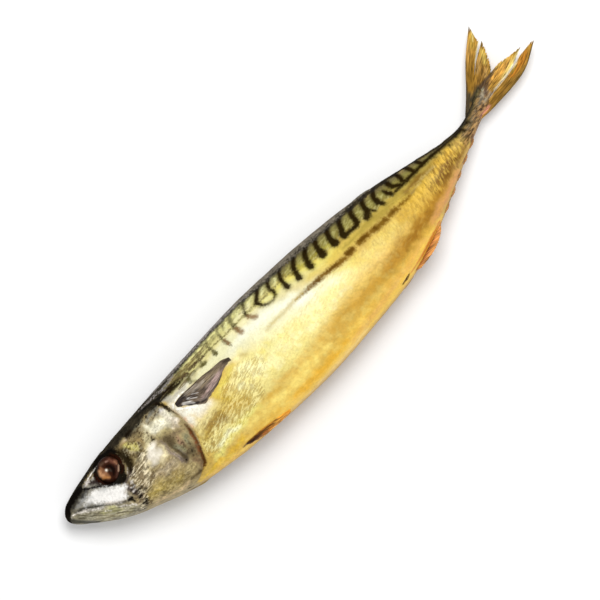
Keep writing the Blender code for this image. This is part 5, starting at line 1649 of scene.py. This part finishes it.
TAIL_WASHES = {
    "tan outer web": ((206, 160, 84), 2.5, 0.9, [((306, 27, 1.6), (314, 33, 1.8), (319, 37, 1.2))]),
    "mustard web": ((142, 104, 30), 2.5, 0.9, [((300, 17.6, 2), (306, 22, 2.5), (312, 26, 1.5))]),
    "gold edge": ((206, 170, 66), 1.5, 0.85, [((316, 31, 1), (320, 35, 1.2))]),
    "brown inner web": ((126, 90, 34), 2.0, 0.9, [((303, 14.6, 1.4), (309, 17, 1.8), (312, 20, 1.4))]),
    "olive gold edge": ((202, 174, 84), 1.2, 0.9, [((314.6, 20.6, 1.0), (318, 26, 1.0))]),
    "tan inner web": ((186, 148, 86), 1.0, 0.8, [
        ((308, 20, 0.7), (314, 24, 0.7)), ((309, 15.6, 0.5), (313, 18, 0.6)),
    ]),
    "orange lower web": ((222, 164, 72), 2.0, 0.95, [((310, 12.6, 1.4), (318, 12.0, 1.8), (325, 12.4, 0.8))]),
    "olive lower edge": ((170, 142, 48), 1.2, 0.9, [((324, 11.0, 0.7), (331, 12.8, 0.6))]),
    "pale lower edge": ((206, 172, 84), 1.0, 0.8, [((314, 14.8, 0.4), (322, 14.4, 0.6), (326, 13.6, 0.4))]),
    "olive outer web": ((130, 94, 30), 1.6, 0.95, [((300, 3.4, 1.2), (308, 4.0, 1.6), (315, 4.8, 1.4))]),
    "rust outer web": ((192, 124, 36), 1.5, 0.95, [((319, 5.8, 1.2), (328, 7.4, 1.5), (333, 9, 0.6))]),
    "green flecks": ((124, 124, 40), 0.8, 0.7, [
        ((320, 7.2, 0.4), (324, 8.4, 0.4)), ((318, 5, 0.3),), ((314, 25.6, 0.4),),
    ]),
    "slate root": ((66, 60, 44), 1.4, 0.95, [
        ((286, 8.2, 1.0), (292, 10.6, 1.6), (297, 15.2, 1.4)), ((296, 12.4, 1.8), (303, 14, 1.2)),
    ]),
    "dark fork": ((58, 52, 34), 1.0, 0.9, [
        ((296, 12.0, 0.7), (303, 13.4, 1.0), (308, 14.0, 0.8), (313.6, 14.4, 0.6)),
    ]),
    "pale wedge": ((146, 134, 116), 1.4, 0.95, [
        ((297.4, 9.0, 1.0), (304, 10.2, 1.4)), ((299, 7.2, 0.9), (305, 7.6, 0.8)),
    ]),
    "grey green wedge": ((172, 174, 152), 0.6, 0.9, [((301.4, 11.4, 0.5), (305, 12.2, 0.4))]),
    "plum wedge": ((92, 70, 52), 0.9, 0.9, [
        ((303, 8.6, 0.7), (305.6, 11.8, 1.3), (310, 12.6, 0.6)),
        ((304, 13.4, 0.8), (309, 14.2, 0.7), (316, 14.6, 0.5)),
    ]),
    "yellow by the slit": ((240, 208, 116), 0.9, 0.85, [
        ((315, 9.0, 0.4), (321, 10.0, 0.9), (328, 11.8, 0.5)),
    ]),
    "dark web": ((132, 98, 34), 0.9, 0.85, [((316, 3.6, 0.7), (321, 4.0, 0.8), (327, 5.2, 0.6))]),
    "rose root": ((208, 142, 114), 1.0, 0.95, [((294.0, 4.0, 1.2), (297.6, 3.8, 1.5), (300, 3.8, 0.6))]),
    "plum root": ((66, 34, 26), 0.9, 0.95, [
        ((290.6, 6.0, 0.6), (293.6, 4.8, 0.7)), ((293.4, 5.8, 0.9), (297.0, 6.8, 1.0)),
    ]),
    # Painted highlights: cream lines along the blades' edges by the slits between them
    "painted highlight by the lower slit": ((255, 244, 196), 0.6, 0.95, [
        ((307.6, 7.6, 0.2), (316, 7.9, 0.6), (325, 9.4, 0.5), (331, 12.0, 0.3)),
    ]),
    "painted highlight by the upper slit": ((246, 230, 156), 0.5, 0.85, [
        ((311, 24.2, 0.1), (315.6, 27.4, 0.3), (320.6, 30.6, 0.3)), ((318.6, 32.6, 0.3), (321.4, 36.6, 0.3)),
    ]),
    "cream tip": ((250, 232, 170), 0.6, 0.8, [((331, 10.8, 0.3), (336, 10.9, 0.3))]),
    "dark upper edge": ((62, 50, 32), 0.8, 0.95, [
        ((285, 7.0, 0.9), (291, 11.6, 1.0), (297, 17.2, 0.8), (303, 23.4, 0.5), (309, 29.4, 0.3),
         (316, 35.2, 0.3), (323, 39.8, 0.7)),
    ]),
    "dark lower edge": ((84, 68, 24), 0.7, 0.9, [
        ((297, 1.6, 0.2), (308, 1.6, 0.5), (324, 2.9, 0.5), (332, 5.6, 0.5), (340.4, 10.2, 0.7)),
    ]),
    "dark tips": ((84, 74, 28), 0.7, 0.85, [
        ((319.6, 27.8, 0.4), (321.6, 29.8, 0.6)), ((312.4, 14.6, 0.4), (315.0, 17.4, 0.4)),
        ((330, 12.6, 0.3), (333, 13.2, 0.5)),
    ]),
}
TAIL_WANDER = 0.7

for name, (outside, inner, trailing, rays) in TAIL_BLADES.items():
    first, last = edge_curve(outside, BLADE_STEPS)[:, None], edge_curve(inner, BLADE_STEPS)[:, None]
    ends = edge_curve(trailing, BLADE_ACROSS)[None]
    across = np.linspace(0, 1, BLADE_ACROSS)[None, :]
    out = np.linspace(0, 1, BLADE_STEPS)[:, None]
    rib = ribs(across + 0 * out, rays)
    ray = rays * across + 0 * out
    # The trailing edge frays between its rays, but not at its two ends
    frays = FRAY * (1 - rib) + FRAY * uneven(lined_up(ray * FRAY_STEP, 0, 0)[:1], 1.0, FRAY_SEED)
    may_fray = np.sin(math.pi * np.clip(across, KEPT_HEM, 1 - KEPT_HEM)) ** KEPT_FULLNESS
    reach = out * (1 - np.clip(frays, 0, 1) * may_fray)
    spot = reach * (BLADE_STEPS - 1)
    low = np.clip(np.floor(spot).astype(int), 0, BLADE_STEPS - 2)
    beyond, inward = (spot - low)[..., None], across[..., None]
    start_ray = first[low, 0] * (1 - beyond) + first[low + 1, 0] * beyond
    end_ray = last[low, 0] * (1 - beyond) + last[low + 1, 0] * beyond
    chord = first[-1] * (1 - inward) + last[-1] * inward
    seen = start_ray * (1 - inward) + end_ray * inward + reach[..., None] * (ends - chord)
    half = TAIL_ROOT_HALF + (TAIL_TIP_HALF - TAIL_ROOT_HALF) * smooth(out * THINS_BY)
    half = half * (TAIL_HEM_SHARE + (1 - TAIL_HEM_SHARE) * np.sin(math.pi * across) ** 0.5)
    half = half + TAIL_RIB * rib * smooth(out * RIBS_FROM)
    faces = [laid(np.concatenate([seen, way * half[..., None]], axis=-1)) for way in (1, -1)]
    leaf = loft(f"tail_{name}", both_faces(*faces))
    undertone = painted(plain(TAIL_COLOUR, seen), TAIL_WASHES.values(), astray(seen, ray, out, TAIL_WANDER))
    dress_fin(leaf, seen, ray, RAY_GRAIN * out + 0 * ray, rib, undertone)


# The floor and the light: a plain pale floor, soft white light from above on the side of the fish's back, and
# a camera that looks straight down, turned so that the fish lies from lower left to upper right.

FLOOR_HALF = 3
LIGHT_ALL_ROUND = 0.62
LAMP_SIZE, LAMP_POWER, LAMP_PLACE = 0.6, 10.5, (0.3, 0.24, 1.22)
CAMERA_HEIGHT = 2.4
FISH_TOP = 0.014
PICTURE_WIDTH = 0.3042
AIM = (162.5, 5.8)
ACROSS, UP = Vector((0.68775, -0.72595, 0)), Vector((0.72595, 0.68775, 0))
SENSOR = 36.0

scene = bpy.context.scene
scene.view_settings.view_transform = "Standard"
world = bpy.data.worlds.new("studio")
world.use_nodes = True
world.node_tree.nodes["Background"].inputs["Color"].default_value = (1, 1, 1, 1)
world.node_tree.nodes["Background"].inputs["Strength"].default_value = LIGHT_ALL_ROUND
scene.world = world

floor_mesh = bpy.data.meshes.new("floor")
corners = [(x * FLOOR_HALF, y * FLOOR_HALF, 0) for x, y in ((-1, -1), (1, -1), (1, 1), (-1, 1))]
floor_mesh.from_pydata(corners, [], [(0, 1, 2, 3)])
floor = bpy.data.objects.new("floor", floor_mesh)
scene.collection.objects.link(floor)
tree, shader = new_material("pale_floor")
shader.inputs["Base Color"].default_value = (0.96, 0.96, 0.96, 1)
shader.inputs["Roughness"].default_value = 0.9
shader.inputs["Specular IOR Level"].default_value = 0.1
floor_mesh.materials.append(bpy.data.materials["pale_floor"])

lamp_data = bpy.data.lights.new("soft_box", "AREA")
lamp_data.shape = "SQUARE"
lamp_data.size = LAMP_SIZE
lamp_data.energy = LAMP_POWER
lamp = bpy.data.objects.new("soft_box", lamp_data)
scene.collection.objects.link(lamp)
lamp.location = LAMP_PLACE
lamp.rotation_euler = (-Vector(LAMP_PLACE)).to_track_quat("-Z", "Y").to_euler()

camera_data = bpy.data.cameras.new("camera")
camera_data.sensor_width = SENSOR
camera_data.lens = SENSOR * (CAMERA_HEIGHT - FISH_TOP) / PICTURE_WIDTH
camera = bpy.data.objects.new("camera", camera_data)
scene.collection.objects.link(camera)
camera.matrix_world = Matrix((
    (ACROSS.x, UP.x, 0, (AIM[0] + IN_FRAME[0]) * MM),
    (ACROSS.y, UP.y, 0, (AIM[1] + IN_FRAME[1]) * MM),
    (0, 0, 1, CAMERA_HEIGHT),
    (0, 0, 0, 1),
))
scene.camera = camera
